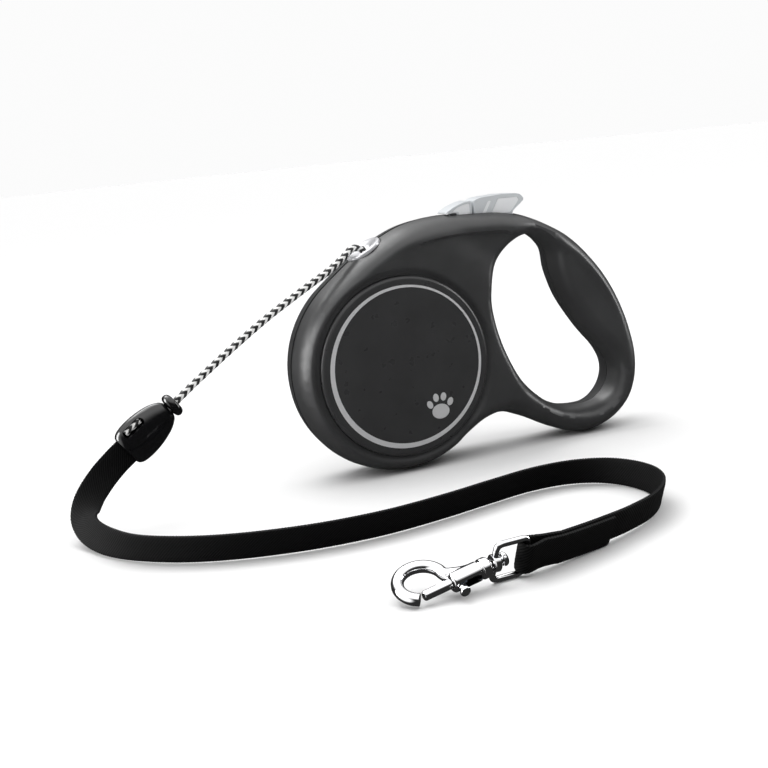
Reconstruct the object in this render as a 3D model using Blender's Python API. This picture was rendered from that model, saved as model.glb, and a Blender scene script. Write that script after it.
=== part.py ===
"""Retractable cord leash: casing with handle, reel, brake, lead cord, strap and bolt snap."""
import math

import bpy
import numpy as np
from mathutils import Vector
from mathutils.geometry import delaunay_2d_cdt

MM = 0.001

# ---- driving dimensions, millimetres ----
DRUM_RADIUS = 44.6
DRUM_X = -35.0
DRUM_Z = DRUM_RADIUS
DRUM_HALF = 14.2
WEB_HALF = 12.0
WALL = 1.8
CAVITY_HALF = 10.2
DRUM_ROUND = 5.0
GRIP_ROUND = 7.0
HOLE_ROUND = 5.0
GAP = 0.3
SEAM_HALF = 0.15
GROOVE_HALF = 0.75
GROOVE_DEPTH = 0.5

DISC_RADIUS = 36.9
DISC_SEAT = 12.2
DISC_FACE = 14.8
RING_RADIUS = 33.4
RING_PROUD = 0.3

AXLE_RADIUS = 2.5
CORD_DIAMETER = 3.0
STRAP_WIDTH = 11.5
STRAP_THICKNESS = 1.4
HOOK_WIRE = 2.0

WEB_CAVITY_HALF = 9.6
VALLEY_DEPTH = 1.2
CAVITY_RIM = 39.8
SEAT_RADIUS = 37.1
AXLE_BORE = 2.8
BOSS_RADIUS = 4.5
BOSS_FACE = 7.9
POST_BORE_FLOOR = 8.6
GUIDE_REACH = 3.0
STEP = 0.05

OUTER_STATIONS = 72
HOLE_STATIONS = 36
CIRCLE_STATIONS = 36

# Outline of the casing from the drum's upper left, over the spine, down the grip
# and back under the web (x, z).
OUTER_POINTS = [
    (-50.5, 88.6), (-43.0, 93.1), (-34.5, 97.4), (-26.5, 100.4), (-17.0, 102.1), (-6.0, 102.6),
    (6.0, 102.2), (18.0, 101.2), (30.0, 98.2), (41.0, 93.0), (50.0, 87.2), (58.5, 79.0),
    (66.5, 68.5), (72.8, 56.6), (77.3, 43.5), (79.5, 30.5), (77.9, 18.6), (72.6, 9.2),
    (62.5, 2.4), (49.5, 0.1), (36.0, 4.6), (22.5, 11.6), (11.0, 15.9), (2.2, 14.9)]
DRUM_ARC_START = -50.0
DRUM_ARC_END = -232.0
HOLE_POINTS = [
    (10.2, 67.5), (10.6, 57.0), (13.4, 45.3), (18.6, 33.6), (26.6, 23.2), (36.6, 15.6),
    (47.5, 12.5), (58.6, 13.0), (65.6, 18.6), (67.6, 26.2), (64.2, 34.4), (55.4, 45.4),
    (46.2, 59.6), (41.6, 72.2), (39.6, 83.2), (31.8, 89.9), (22.4, 87.6), (13.8, 79.9)]

SCREWS = [(-14.0, 91.5), (5.5, 22.5), (70.1, 15.1), (61.5, 55.0), (48.0, 81.0)]
POST_RADIUS = 3.1
POST_BORE = 1.5
GUIDES = [(4.2, 81.2), (-1.2, 86.3)]
GUIDE_RADIUS = 1.5

EYELET_X = -43.2
EYELET_Z = 92.9
EYELET_TILT = math.radians(29.5)

BUTTON_HALF_WIDTH = 4.3
SLOT_START = -5.4
SLOT_END = 26.2
SLOT_HALF_WIDTH = 4.7

# Route of the lead cord from the eyelet to the connector (x, y, z).
LEAD_ROUTE = [
    (-41.0, 0.0, 89.0), (-42.4, 0.0, 91.4), (-44.0, -0.2, 93.0), (-46.5, -0.9, 93.9),
    (-49.8, -2.0, 93.3), (-53.6, -3.4, 90.8), (-61.0, -4.9, 86.5), (-68.7, -5.7, 82.8),
    (-77.0, -6.0, 78.5), (-85.3, -6.0, 74.0), (-93.6, -6.0, 69.1), (-101.7, -6.0, 64.0),
    (-108.0, -6.0, 59.9), (-114.1, -6.0, 55.8), (-121.0, -6.0, 51.1), (-127.6, -6.0, 46.4),
    (-133.5, -6.0, 42.1), (-139.0, -6.0, 38.1)]

CONNECTOR_X = -130.8
CONNECTOR_Y = -6.0
CONNECTOR_Z = 44.1
CONNECTOR_PITCH = math.radians(36.3)
CAP_START = 1.9
CAP_LENGTH = 24.0
CAP_FLATNESS = 0.58
WINDOW_FLOOR = 0.3
TAIL_DIAMETER = 2.6
TAIL_SETBACK = -1.4

# Route of the strap's centreline from the connector to the hook, each with the direction
# from the centreline to the strap's lower edge.
STRAP_ROUTE = [
    (-147.6, -6.0, 31.8), (-151.4, -6.0, 29.0), (-155.6, -6.2, 25.9), (-161.2, -7.0, 21.2),
    (-166.8, -9.2, 15.6), (-170.2, -13.6, 11.0), (-171.2, -20.5, 8.1), (-170.2, -29.5, 6.7),
    (-166.8, -41.0, 6.2), (-160.2, -53.0, 5.95), (-150.0, -63.5, 5.85), (-136.5, -72.5, 5.82),
    (-119.5, -79.5, 5.82), (-100.0, -84.0, 5.82), (-78.0, -85.0, 5.82), (-55.0, -81.8, 5.82),
    (-33.0, -76.8, 5.82), (-14.0, -73.2, 5.82), (1.5, -74.5, 5.82), (12.4, -81.4, 5.82),
    (18.0, -92.6, 5.82), (18.4, -105.6, 5.82), (12.8, -118.4, 5.82), (1.6, -129.2, 5.82),
    (-13.0, -136.8, 6.0), (-27.0, -141.8, 6.3), (-38.0, -145.4, 6.7), (-47.0, -148.1, 7.1)]
STRAP_EDGE = [
    (-0.59, 0.0, 0.81), (-0.59, 0.0, 0.81), (-0.62, 0.0, 0.78), (-0.76, 0.10, 0.62),
    (-0.88, 0.20, 0.38), (-0.86, 0.42, 0.0), (-0.66, 0.34, -0.60), (-0.40, 0.32, -0.85),
    (-0.20, 0.35, -0.92)]
STRAP_LEAN = math.radians(23.0)
STRAP_FOLD_LENGTH = 30.0

EYE_AT = (-71.0, -151.3, 7.6)
EYE_YAW = math.radians(183.0)
EYE_HALF_HEIGHT = 7.85
EYE_BAR = 1.8
BAR_OFFSET = 11.0
HOOK_DROOP = math.radians(10.0)
HOOK_ROLL = math.radians(20.0)
HOOK_RING_RADIUS = 7.4
HOOK_RING_AT = 22.9
HOOK_RING_SIDE = 5.4
HOOK_SWEEP = 234.0


def clear_scene():
    for item in list(bpy.data.objects):
        bpy.data.objects.remove(item, do_unlink=True)


def material(name, color, roughness, metallic=0.0):
    made = bpy.data.materials.new(name)
    made.use_nodes = True
    shader = made.node_tree.nodes["Principled BSDF"]
    shader.inputs["Base Color"].default_value = (color[0], color[1], color[2], 1.0)
    shader.inputs["Roughness"].default_value = roughness
    shader.inputs["Metallic"].default_value = metallic
    return made


def add_mesh(name, points, faces, look):
    """One closed body from points in millimetres."""
    mesh = bpy.data.meshes.new(name)
    mesh.from_pydata([tuple(c * MM for c in p) for p in points], [], faces)
    mesh.validate()
    mesh.update()
    mesh.materials.append(look)
    made = bpy.data.objects.new(name, mesh)
    bpy.context.scene.collection.objects.link(made)
    volume = 0.0
    for face in faces:
        a = Vector(points[face[0]])
        for second, third in zip(face[1:-1], face[2:]):
            volume += a.dot(Vector(points[second]).cross(Vector(points[third])))
    if volume < 0.0:
        mesh.flip_normals()
    return made


def cut(target, cutter):
    """Take the cutter out of the target."""
    cutter.hide_render = True
    cutter.display_type = "WIRE"
    step = target.modifiers.new("cut", "BOOLEAN")
    step.operation = "DIFFERENCE"
    step.solver = "EXACT"
    step.object = cutter


def join(target, other):
    """Add the other body to the target."""
    other.hide_render = True
    other.display_type = "WIRE"
    step = target.modifiers.new("join", "BOOLEAN")
    step.operation = "UNION"
    step.solver = "EXACT"
    step.object = other


def frame_from(origin, axis, side):
    """Three unit directions: along the axis, across it, and square to both."""
    along = Vector(axis).normalized()
    across = Vector(side) - along * Vector(side).dot(along)
    across.normalize()
    return Vector(origin), along, across, along.cross(across)


def lathe(name, profile, look, origin, axis=(0.0, 1.0, 0.0), side=(1.0, 0.0, 0.0), steps=32,
          flatten=1.0):
    """Turn a closed profile of (radius, height) about the axis; flatten squashes it across."""
    base, along, across, square = frame_from(origin, axis, side)
    rings = []
    points = []
    for radius, height in profile:
        if radius < 1e-6:
            rings.append([len(points)])
            points.append(base + along * height)
            continue
        ring = []
        for k in range(steps):
            angle = 2.0 * math.pi * k / steps
            ring.append(len(points))
            offset = across * math.cos(angle) + square * (math.sin(angle) * flatten)
            points.append(base + along * height + offset * radius)
        rings.append(ring)
    faces = []
    for first, second in zip(rings, rings[1:] + rings[:1]):
        if len(first) == 1 and len(second) == 1:
            continue
        for k in range(steps):
            n = (k + 1) % steps
            if len(first) == 1:
                faces.append((first[0], second[n], second[k]))
            elif len(second) == 1:
                faces.append((first[k], first[n], second[0]))
            else:
                faces.append((first[k], first[n], second[n], second[k]))
    return add_mesh(name, [tuple(p) for p in points], faces, look)


def prism(name, outline, low, high, look, origin=(0, 0, 0), axis=(0, 1, 0), side=(1, 0, 0)):
    """Extrude an outline of (across, square) from low to high along the axis."""
    base, along, across, square = frame_from(origin, axis, side)
    count = len(outline)
    points = []
    for height in (low, high):
        for a, b in outline:
            points.append(tuple(base + along * height + across * a + square * b))
    faces = [tuple(range(count)), tuple(range(2 * count - 1, count - 1, -1))]
    for k in range(count):
        n = (k + 1) % count
        faces.append((n, k, count + k, count + n))
    return add_mesh(name, points, faces, look)


def box(name, low, high, look):
    outline = [(low[0], low[2]), (high[0], low[2]), (high[0], high[2]), (low[0], high[2])]
    return prism(name, [(a, -b) for a, b in outline], low[1], high[1], look)


def round_cord(name, route, diameter, look, roundness=2):
    """Round cord laid along a route."""
    curve = bpy.data.curves.new(name, "CURVE")
    curve.dimensions = "3D"
    curve.bevel_depth = 0.5 * diameter * MM
    curve.bevel_resolution = roundness
    curve.use_fill_caps = True
    spline = curve.splines.new("POLY")
    spline.points.add(len(route) - 1)
    for k, place in enumerate(route):
        spline.points[k].co = (place[0] * MM, place[1] * MM, place[2] * MM, 1.0)
    curve.materials.append(look)
    made = bpy.data.objects.new(name, curve)
    bpy.context.scene.collection.objects.link(made)
    return made


def catmull(points, per_span, closed):
    """Smooth curve through the points, per_span samples in every span."""
    rows = np.array(points, dtype=float)
    count = len(rows)
    spans = count if closed else count - 1
    result = []
    for k in range(spans):
        if closed:
            p = [rows[(k + j - 1) % count] for j in range(4)]
        else:
            p = [rows[min(max(k + j - 1, 0), count - 1)] for j in range(4)]
        for s in range(per_span):
            t = s / per_span
            a = 2.0 * p[1]
            b = p[2] - p[0]
            c = 2.0 * p[0] - 5.0 * p[1] + 4.0 * p[2] - p[3]
            d = -p[0] + 3.0 * p[1] - 3.0 * p[2] + p[3]
            result.append(0.5 * (a + b * t + c * t * t + d * t ** 3))
    if not closed:
        result.append(rows[-1])
    return np.array(result)


def even_spacing(curve, count, closed):
    """Points at equal spacing along the curve."""
    rows = np.vstack([curve, curve[:1]]) if closed else curve
    steps = np.linalg.norm(np.diff(rows, axis=0), axis=1)
    along = np.concatenate([[0.0], np.cumsum(steps)])
    if closed:
        places = np.linspace(0.0, along[-1], count + 1)[:-1]
    else:
        places = np.linspace(0.0, along[-1], count)
    return np.stack([np.interp(places, along, rows[:, k]) for k in range(rows.shape[1])], axis=1)


def outer_curve():
    points = list(OUTER_POINTS)
    arc_steps = 18
    for k in range(arc_steps + 1):
        angle = math.radians(DRUM_ARC_START + (DRUM_ARC_END - DRUM_ARC_START) * k / arc_steps)
        points.append((DRUM_X + DRUM_RADIUS * math.cos(angle),
                       DRUM_Z + DRUM_RADIUS * math.sin(angle)))
    return catmull(points, 12, True)


def hole_curve():
    return catmull(HOLE_POINTS, 16, True)


OUTER = outer_curve()
HOLE = hole_curve()


def distance_to(places, curve):
    """Shortest distance from each place to the closed curve."""
    span = np.roll(curve, -1, axis=0) - curve
    length2 = (span ** 2).sum(axis=1)
    best = np.full(len(places), 1e9)
    for k in range(len(curve)):
        offset = places - curve[k]
        t = np.clip(offset @ span[k] / length2[k], 0.0, 1.0)
        gap = offset - t[:, None] * span[k]
        best = np.minimum(best, np.hypot(gap[:, 0], gap[:, 1]))
    return best


def inside(places, curve):
    """True where a place lies inside the closed curve."""
    result = np.zeros(len(places), dtype=bool)
    following = np.roll(curve, -1, axis=0)
    for a, b in zip(curve, following):
        crosses = (a[1] > places[:, 1]) != (b[1] > places[:, 1])
        if a[1] == b[1]:
            continue
        x = a[0] + (places[:, 1] - a[1]) * (b[0] - a[0]) / (b[1] - a[1])
        result ^= crosses & (places[:, 0] < x)
    return result


def offset_curve(curve, distance, into_material):
    """Curve moved sideways; into_material is +1 outside loop inwards, -1 hole outwards."""
    tangent = np.roll(curve, -1, axis=0) - np.roll(curve, 1, axis=0)
    tangent /= np.linalg.norm(tangent, axis=1)[:, None]
    normal = np.stack([-tangent[:, 1], tangent[:, 0]], axis=1)
    area = 0.5 * np.sum(curve[:, 0] * np.roll(curve[:, 1], -1)
                        - curve[:, 1] * np.roll(curve[:, 0], -1))
    return curve + normal * (math.copysign(distance, area) * into_material)


def smooth(value):
    t = np.clip(value, 0.0, 1.0)
    return t * t * (3.0 - 2.0 * t)


def shoulder(distance, radius):
    """Rounded edge: 0 at the edge, 1 from the radius inwards."""
    t = np.clip(distance / radius, 0.0, 1.0)
    return np.sqrt(1.0 - (1.0 - t) ** 2)


def outer_height(places, to_outer, to_hole):
    """Half thickness of the casing's outside over the (x, z) places."""
    r = np.hypot(places[:, 0] - DRUM_X, places[:, 1] - DRUM_Z)
    drum = smooth((62.0 - r) / 14.0)
    full = WEB_HALF + (DRUM_HALF - WEB_HALF) * drum
    edge = GRIP_ROUND + (DRUM_ROUND - GRIP_ROUND) * drum
    rise = shoulder(to_outer, edge) * shoulder(to_hole, HOLE_ROUND)
    height = GROOVE_HALF + (full - GROOVE_HALF) * rise
    height = height - VALLEY_DEPTH * smooth((CAVITY_RIM - r) / 1.8)
    return np.where(r < SEAT_RADIUS, DISC_SEAT, height)


def inner_height(places, to_outer, to_hole):
    """Half thickness of the hollow inside the casing."""
    r = np.hypot(places[:, 0] - DRUM_X, places[:, 1] - DRUM_Z)
    full = WEB_CAVITY_HALF + (CAVITY_HALF - WEB_CAVITY_HALF) * smooth((56.0 - r) / 10.0)
    rise = shoulder(to_outer - WALL, DRUM_ROUND - WALL) * shoulder(to_hole - WALL, HOLE_ROUND - WALL)
    return SEAM_HALF + (full - SEAM_HALF) * rise


def circle(x, z, radius, count):
    angles = 2.0 * math.pi * np.arange(count) / count
    return np.stack([x + radius * np.cos(angles), z + radius * np.sin(angles)], axis=1)


def fill(outer_loop, hole_loop, loops, scatter):
    """Triangles over the region between two loops, keeping every further loop's edges."""
    edges = []
    start = 0
    fixed = [outer_loop, hole_loop] + loops
    for loop in fixed:
        count = len(loop)
        edges += [(start + k, start + (k + 1) % count) for k in range(count)]
        start += count
    kept = np.vstack(fixed)
    for group, room in scatter:
        good = inside(group, outer_loop) & ~inside(group, hole_loop)
        for place in group[good]:
            if np.min(np.hypot(kept[:, 0] - place[0], kept[:, 1] - place[1])) > room:
                kept = np.vstack([kept, place])
    made = delaunay_2d_cdt([Vector((p[0], p[1])) for p in kept], edges, [], 0, 1e-5)
    places = np.array([(v[0], v[1]) for v in made[0]])
    order = np.array([ids[0] for ids in made[3]])
    faces = np.array(list(made[2]))
    centres = places[faces].mean(axis=1)
    good = inside(centres, outer_loop) & ~inside(centres, hole_loop)
    return kept, order[faces[good]]


def grid(spacing):
    xs = np.arange(-80.0, 80.0, spacing)
    zs = np.arange(0.0, 104.0, spacing * 0.87)
    places = []
    for row, z in enumerate(zs):
        for x in xs:
            places.append((x + (0.5 * spacing if row % 2 else 0.0), z))
    return np.array(places)


def casing_half(name, front, look):
    """One hollow half of the casing; front is True for the half facing -Y."""
    sign = -1.0 if front else 1.0
    outer_loop = even_spacing(OUTER, OUTER_STATIONS, True)
    hole_loop = even_spacing(HOLE, HOLE_STATIONS, True)
    seat_low = circle(DRUM_X, DRUM_Z, SEAT_RADIUS - 0.1, CIRCLE_STATIONS)
    seat_high = circle(DRUM_X, DRUM_Z, SEAT_RADIUS + 0.1, CIRCLE_STATIONS)
    valley = circle(DRUM_X, DRUM_Z, 38.2, CIRCLE_STATIONS)
    crest = circle(DRUM_X, DRUM_Z, 39.9, CIRCLE_STATIONS)
    body_grid = grid(9.5)
    r_grid = np.hypot(body_grid[:, 0] - DRUM_X, body_grid[:, 1] - DRUM_Z)
    body_grid = body_grid[r_grid > 42.0]
    scatter = [(valley, 0.5), (crest, 1.0),
               (offset_curve(outer_loop, 1.0, 1.0), 0.7), (offset_curve(hole_loop, 1.2, -1.0), 0.9),
               (offset_curve(outer_loop, 3.4, 1.0), 2.0), (offset_curve(hole_loop, 4.0, -1.0), 2.4),
               (offset_curve(outer_loop, GRIP_ROUND, 1.0)[::2], 3.0), (body_grid, 5.0)]
    top, top_faces = fill(outer_loop, hole_loop, [seat_low, seat_high], scatter)
    d_outer = distance_to(top, OUTER)
    d_hole = distance_to(top, HOLE)
    d_outer[:OUTER_STATIONS] = 0.0
    d_hole[OUTER_STATIONS:OUTER_STATIONS + HOLE_STATIONS] = 0.0
    top_y = outer_height(top, d_outer, d_hole)
    top_y[OUTER_STATIONS:OUTER_STATIONS + HOLE_STATIONS] = SEAM_HALF
    points = [(p[0], sign * y, p[1]) for p, y in zip(top, top_y)]
    faces = [tuple(int(k) for k in f) for f in top_faces]

    inner_outer = offset_curve(outer_loop, WALL, 1.0)
    inner_hole = offset_curve(hole_loop, WALL, -1.0)
    # Each step in the hollow is a pair of loops a little apart; None keeps the hollow's own depth.
    loops = [circle(DRUM_X, DRUM_Z, AXLE_BORE, 14), circle(DRUM_X, DRUM_Z, AXLE_BORE + STEP, 14),
             circle(DRUM_X, DRUM_Z, BOSS_RADIUS, 14), circle(DRUM_X, DRUM_Z, BOSS_RADIUS + STEP, 14),
             circle(DRUM_X, DRUM_Z, CAVITY_RIM, CIRCLE_STATIONS)]
    levels = [CAVITY_HALF, BOSS_FACE, BOSS_FACE, CAVITY_HALF, CAVITY_HALF]
    for x, z in SCREWS:
        if front:
            loops += [circle(x, z, POST_BORE, 8), circle(x, z, POST_BORE + STEP, 8)]
            levels += [POST_BORE_FLOOR, SEAM_HALF]
        loops += [circle(x, z, POST_RADIUS, 8), circle(x, z, POST_RADIUS + STEP, 8)]
        levels += [SEAM_HALF, None]
    if not front:
        for x, z in GUIDES:
            loops += [circle(x, z, GUIDE_RADIUS, 6), circle(x, z, GUIDE_RADIUS + STEP, 6)]
            levels += [-GUIDE_REACH, None]
    inner_scatter = [(offset_curve(outer_loop, WALL + 1.1, 1.0), 0.9),
                     (offset_curve(outer_loop, WALL + 3.2, 1.0)[::2], 1.6),
                     (offset_curve(hole_loop, WALL + 1.4, -1.0), 1.1),
                     (offset_curve(hole_loop, WALL + 3.2, -1.0), 1.4),
                     (grid(10.0), 3.2)]
    low, low_faces = fill(inner_outer, inner_hole, loops, inner_scatter)
    low_y = inner_height(low, distance_to(low, OUTER), distance_to(low, HOLE))
    first = OUTER_STATIONS + HOLE_STATIONS
    low_y[:first] = SEAM_HALF
    for loop, level in zip(loops, levels):
        if level is not None:
            low_y[first:first + len(loop)] = level
        first += len(loop)
    base = len(points)
    points += [(p[0], sign * y, p[1]) for p, y in zip(low, low_y)]
    faces += [tuple(int(k) + base for k in f[::-1]) for f in low_faces]

    groove = offset_curve(outer_loop, GROOVE_DEPTH, 1.0)
    rim = list(range(OUTER_STATIONS))
    for level in (GROOVE_HALF, SEAM_HALF):
        start = len(points)
        points += [(p[0], sign * level, p[1]) for p in groove]
        new_rim = list(range(start, start + OUTER_STATIONS))
        faces += bridge(rim, new_rim)
        rim = new_rim
    faces += bridge(rim, list(range(base, base + OUTER_STATIONS)))
    hole_rim = list(range(OUTER_STATIONS, OUTER_STATIONS + HOLE_STATIONS))
    hole_inner = list(range(base + OUTER_STATIONS, base + OUTER_STATIONS + HOLE_STATIONS))
    faces += bridge(hole_rim, hole_inner)
    return add_mesh(name, points, consistent(faces), look)


def bridge(first, second):
    """Quads between two loops of the same count."""
    count = len(first)
    return [(first[k], first[(k + 1) % count], second[(k + 1) % count], second[k])
            for k in range(count)]


def consistent(faces):
    """Turn faces so that neighbours agree on which side is out."""
    owners = {}
    for index, face in enumerate(faces):
        for a, b in zip(face, face[1:] + face[:1]):
            owners.setdefault((min(a, b), max(a, b)), []).append(index)
    turned = [None] * len(faces)
    turned[0] = faces[0]
    stack = [0]
    while stack:
        face = turned[stack.pop()]
        for a, b in zip(face, face[1:] + face[:1]):
            for other in owners[(min(a, b), max(a, b))]:
                if turned[other] is None:
                    loop = faces[other]
                    pairs = list(zip(loop, loop[1:] + loop[:1]))
                    turned[other] = loop[::-1] if (a, b) in pairs else loop
                    stack.append(other)
    return turned


def ribbon(name, route, edges, width, thickness, look):
    """Flat band along a route; edges gives the direction across the band at each place."""
    route = np.array(route, dtype=float)
    edges = np.array(edges, dtype=float)
    tangent = np.gradient(route, axis=0)
    tangent /= np.linalg.norm(tangent, axis=1)[:, None]
    edges -= (edges * tangent).sum(axis=1)[:, None] * tangent
    edges /= np.linalg.norm(edges, axis=1)[:, None]
    face = np.cross(tangent, edges)
    points = []
    for k in range(len(route)):
        for a, b in ((1, 1), (-1, 1), (-1, -1), (1, -1)):
            points.append(tuple(route[k] + edges[k] * (0.5 * a * width)
                                + face[k] * (0.5 * b * thickness)))
    faces = [(0, 1, 2, 3)]
    for k in range(len(route) - 1):
        for j in range(4):
            n = (j + 1) % 4
            faces.append((4 * k + j, 4 * k + 4 + j, 4 * k + 4 + n, 4 * k + n))
    last = 4 * (len(route) - 1)
    faces.append((last + 3, last + 2, last + 1, last))
    return add_mesh(name, points, consistent(faces), look)


def coil(origin, axis, side, radius, length, turns, per_turn):
    """Places along a coil spring."""
    base, along, across, square = frame_from(origin, axis, side)
    total = int(turns * per_turn)
    result = []
    for k in range(total + 1):
        angle = 2.0 * math.pi * k / per_turn
        place = base + along * (length * k / total)
        place = place + across * (radius * math.cos(angle)) + square * (radius * math.sin(angle))
        result.append(tuple(place))
    return result


clear_scene()

CASING = material("casing_plastic", (0.045, 0.046, 0.048), 0.42)
GLOSS = material("gloss_black", (0.012, 0.012, 0.013), 0.12)
SILVER = material("silver_trim", (0.78, 0.78, 0.79), 0.25, 0.9)
GREY = material("button_grey", (0.62, 0.63, 0.64), 0.35)
STEEL = material("steel", (0.55, 0.55, 0.56), 0.3, 1.0)
CHROME = material("chrome", (0.82, 0.82, 0.83), 0.08, 1.0)
NYLON = material("reel_nylon", (0.80, 0.79, 0.74), 0.5)
BRAID = material("cord_braid", (0.30, 0.30, 0.30), 0.8)
WEBBING = material("webbing", (0.012, 0.012, 0.012), 0.85)
SPRING_STEEL = material("spring_steel", (0.30, 0.33, 0.38), 0.3, 1.0)

# ---- casing ----
front_shell = casing_half("front_shell", True, CASING)
rear_shell = casing_half("rear_shell", False, CASING)

screw_outline = [(0.0, 20.0), (3.0, 20.0), (3.0, 9.0), (POST_BORE, 9.0), (POST_BORE, -1.0), (0.0, -1.0)]
for number, (x, z) in enumerate(SCREWS):
    hole = lathe("screw_hole_cut_%d" % (number + 1), screw_outline, CASING, (x, 0.0, z), steps=10)
    cut(rear_shell, hole)

slot = box("slot_cut", (SLOT_START, -SLOT_HALF_WIDTH, 93.0), (SLOT_END, SLOT_HALF_WIDTH, 110.0),
           CASING)
cut(front_shell, slot)
cut(rear_shell, slot)

EYELET_OUT = (-math.sin(EYELET_TILT), 0.0, math.cos(EYELET_TILT))
EYELET_AT = (EYELET_X, 0.0, EYELET_Z)
seat_outline = [(0.0, 6.0), (8.1, 6.0), (8.1, -1.2), (4.9, -1.2), (4.9, -8.0), (0.0, -8.0)]
eyelet_seat = lathe("eyelet_seat_cut", seat_outline, CASING, EYELET_AT, EYELET_OUT, (0, 1, 0), 24)
cut(front_shell, eyelet_seat)
cut(rear_shell, eyelet_seat)

lathe("cord_eyelet",
      [(2.5, -5.6), (2.5, -2.6), (3.4, -1.0), (5.0, 0.1), (6.4, 0.7), (7.3, 0.6), (7.8, 0.1),
       (7.8, -0.9), (4.6, -0.9), (4.6, -5.6)],
      CHROME, EYELET_AT, EYELET_OUT, (0, 1, 0), 20)

# ---- cover discs and trim rings ----
groove_floor = DISC_FACE - 0.8
for label, sign in (("front", -1.0), ("rear", 1.0)):
    centre = (DRUM_X, 0.0, DRUM_Z)
    facing = (0.0, sign, 0.0)
    lathe(label + "_cover_disc",
          [(0.0, DISC_SEAT + GAP), (DISC_RADIUS, DISC_SEAT + GAP), (DISC_RADIUS, DISC_FACE - 0.8),
           (DISC_RADIUS - 1.0, DISC_FACE),
           (RING_RADIUS + 0.3, DISC_FACE), (RING_RADIUS + 0.3, groove_floor),
           (RING_RADIUS - 2.6, groove_floor), (RING_RADIUS - 2.6, DISC_FACE), (0.0, DISC_FACE)],
          GLOSS, centre, facing, steps=36)
    lathe(label + "_trim_ring",
          [(RING_RADIUS - 1.7, groove_floor + GAP), (RING_RADIUS, groove_floor + GAP),
           (RING_RADIUS - 0.2, DISC_FACE + RING_PROUD), (RING_RADIUS - 1.5, DISC_FACE + RING_PROUD)],
          SILVER, centre, facing, steps=36)

# ---- axle, reel, spring ----
REEL = (DRUM_X, 0.0, DRUM_Z)
lathe("axle_pin", [(0.0, -9.8), (2.1, -9.8), (AXLE_RADIUS, -9.4), (AXLE_RADIUS, 9.4), (2.1, 9.8),
                   (0.0, 9.8)], STEEL, REEL, steps=20)
lathe("spring_arbor", [(2.8, -2.6), (5.5, -2.6), (5.5, 7.4), (2.8, 7.4)], STEEL, REEL, steps=20)

TEETH = 24
TOOTH_ROOT = 36.0
TOOTH_TIP = 38.6
TEETH_TURN = math.radians(38.8)


def ratchet_outline():
    """Ratchet rim: square-faced teeth with sloping backs."""
    result = []
    for k in range(TEETH):
        for part, radius in ((0.0, TOOTH_TIP), (0.22, TOOTH_TIP), (0.26, TOOTH_ROOT), (0.84, TOOTH_ROOT)):
            angle = 2.0 * math.pi * (k + part) / TEETH + TEETH_TURN
            result.append((radius * math.cos(angle), radius * math.sin(angle)))
    return result


def reel_drum():
    """Front flange with ratchet rim, core tube and hub in one piece."""
    core = [(21.0, -8.3), (21.0, 8.4), (19.6, 8.4), (19.6, -7.9), (5.9, -7.9), (5.9, -3.0),
            (2.85, -3.0), (2.85, -7.6), (4.9, -7.6), (4.9, -9.9)]
    rim = ratchet_outline()
    steps = len(rim)
    points = []
    for height in (-8.3, -9.9):
        points += [(DRUM_X + a, height, DRUM_Z + b) for a, b in rim]
    rings = [list(range(steps)), list(range(steps, 2 * steps))]
    for radius, height in core:
        rings.append(list(range(len(points), len(points) + TEETH)))
        for k in range(TEETH):
            angle = 2.0 * math.pi * k / TEETH + TEETH_TURN
            points.append((DRUM_X + radius * math.cos(angle), height,
                           DRUM_Z + radius * math.sin(angle)))
    faces = bridge(rings[0], rings[1])
    for first, second in zip(rings[2:-1], rings[3:]):
        faces += bridge(first, second)
    for wide, narrow in ((rings[0], rings[2]), (rings[1], rings[-1])):
        for k in range(TEETH):
            n = (k + 1) % TEETH
            a, b, c, d = wide[4 * k:4 * k + 4]
            e = wide[(4 * k + 4) % steps]
            faces += [(a, b, narrow[k]), (b, c, narrow[k]), (c, narrow[n], narrow[k]),
                      (c, d, narrow[n]), (d, e, narrow[n])]
    return add_mesh("reel_drum", points, consistent(faces), NYLON)


reel_drum()
lathe("reel_flange", [(5.2, 8.7), (18.2, 8.7), (18.2, 7.2), (19.2, 7.2), (19.2, 8.7), (38.2, 8.7),
                      (38.2, 9.9), (5.2, 9.9)], NYLON, REEL, steps=30)
lathe("cord_pack", [(21.4, -7.9), (34.2, -7.9), (35.2, -6.0), (35.2, 6.0), (34.2, 8.3), (21.4, 8.3)],
      BRAID, REEL, steps=30)

spiral = []
for k in range(5 * 16 + 1):
    angle = 2.0 * math.pi * k / 16
    radius = 6.3 + (18.0 - 6.3) * k / (5 * 16)
    spiral.append((DRUM_X + radius * math.cos(angle), 2.2, DRUM_Z + radius * math.sin(angle)))
ribbon("mainspring", spiral, [(0.0, 1.0, 0.0)] * len(spiral), 9.0, 0.5, SPRING_STEEL)

# ---- cord inside the casing, from the pack to the eyelet ----
out = Vector(EYELET_OUT)
mouth = Vector(EYELET_AT) - out * 4.9
start_angle = math.radians(58.0)
leave = Vector((DRUM_X + 37.2 * math.cos(start_angle), 0.0, DRUM_Z + 37.2 * math.sin(start_angle)))
bend = Vector((-33.0, 0.0, 84.2))
inner_route = catmull([tuple(leave), (-23.6, 0.0, 80.6), tuple(bend), (-38.6, 0.0, 85.6), tuple(mouth)],
                      4, False)
round_cord("inner_cord_run", [tuple(p) for p in inner_route], CORD_DIAMETER, BRAID)

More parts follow.
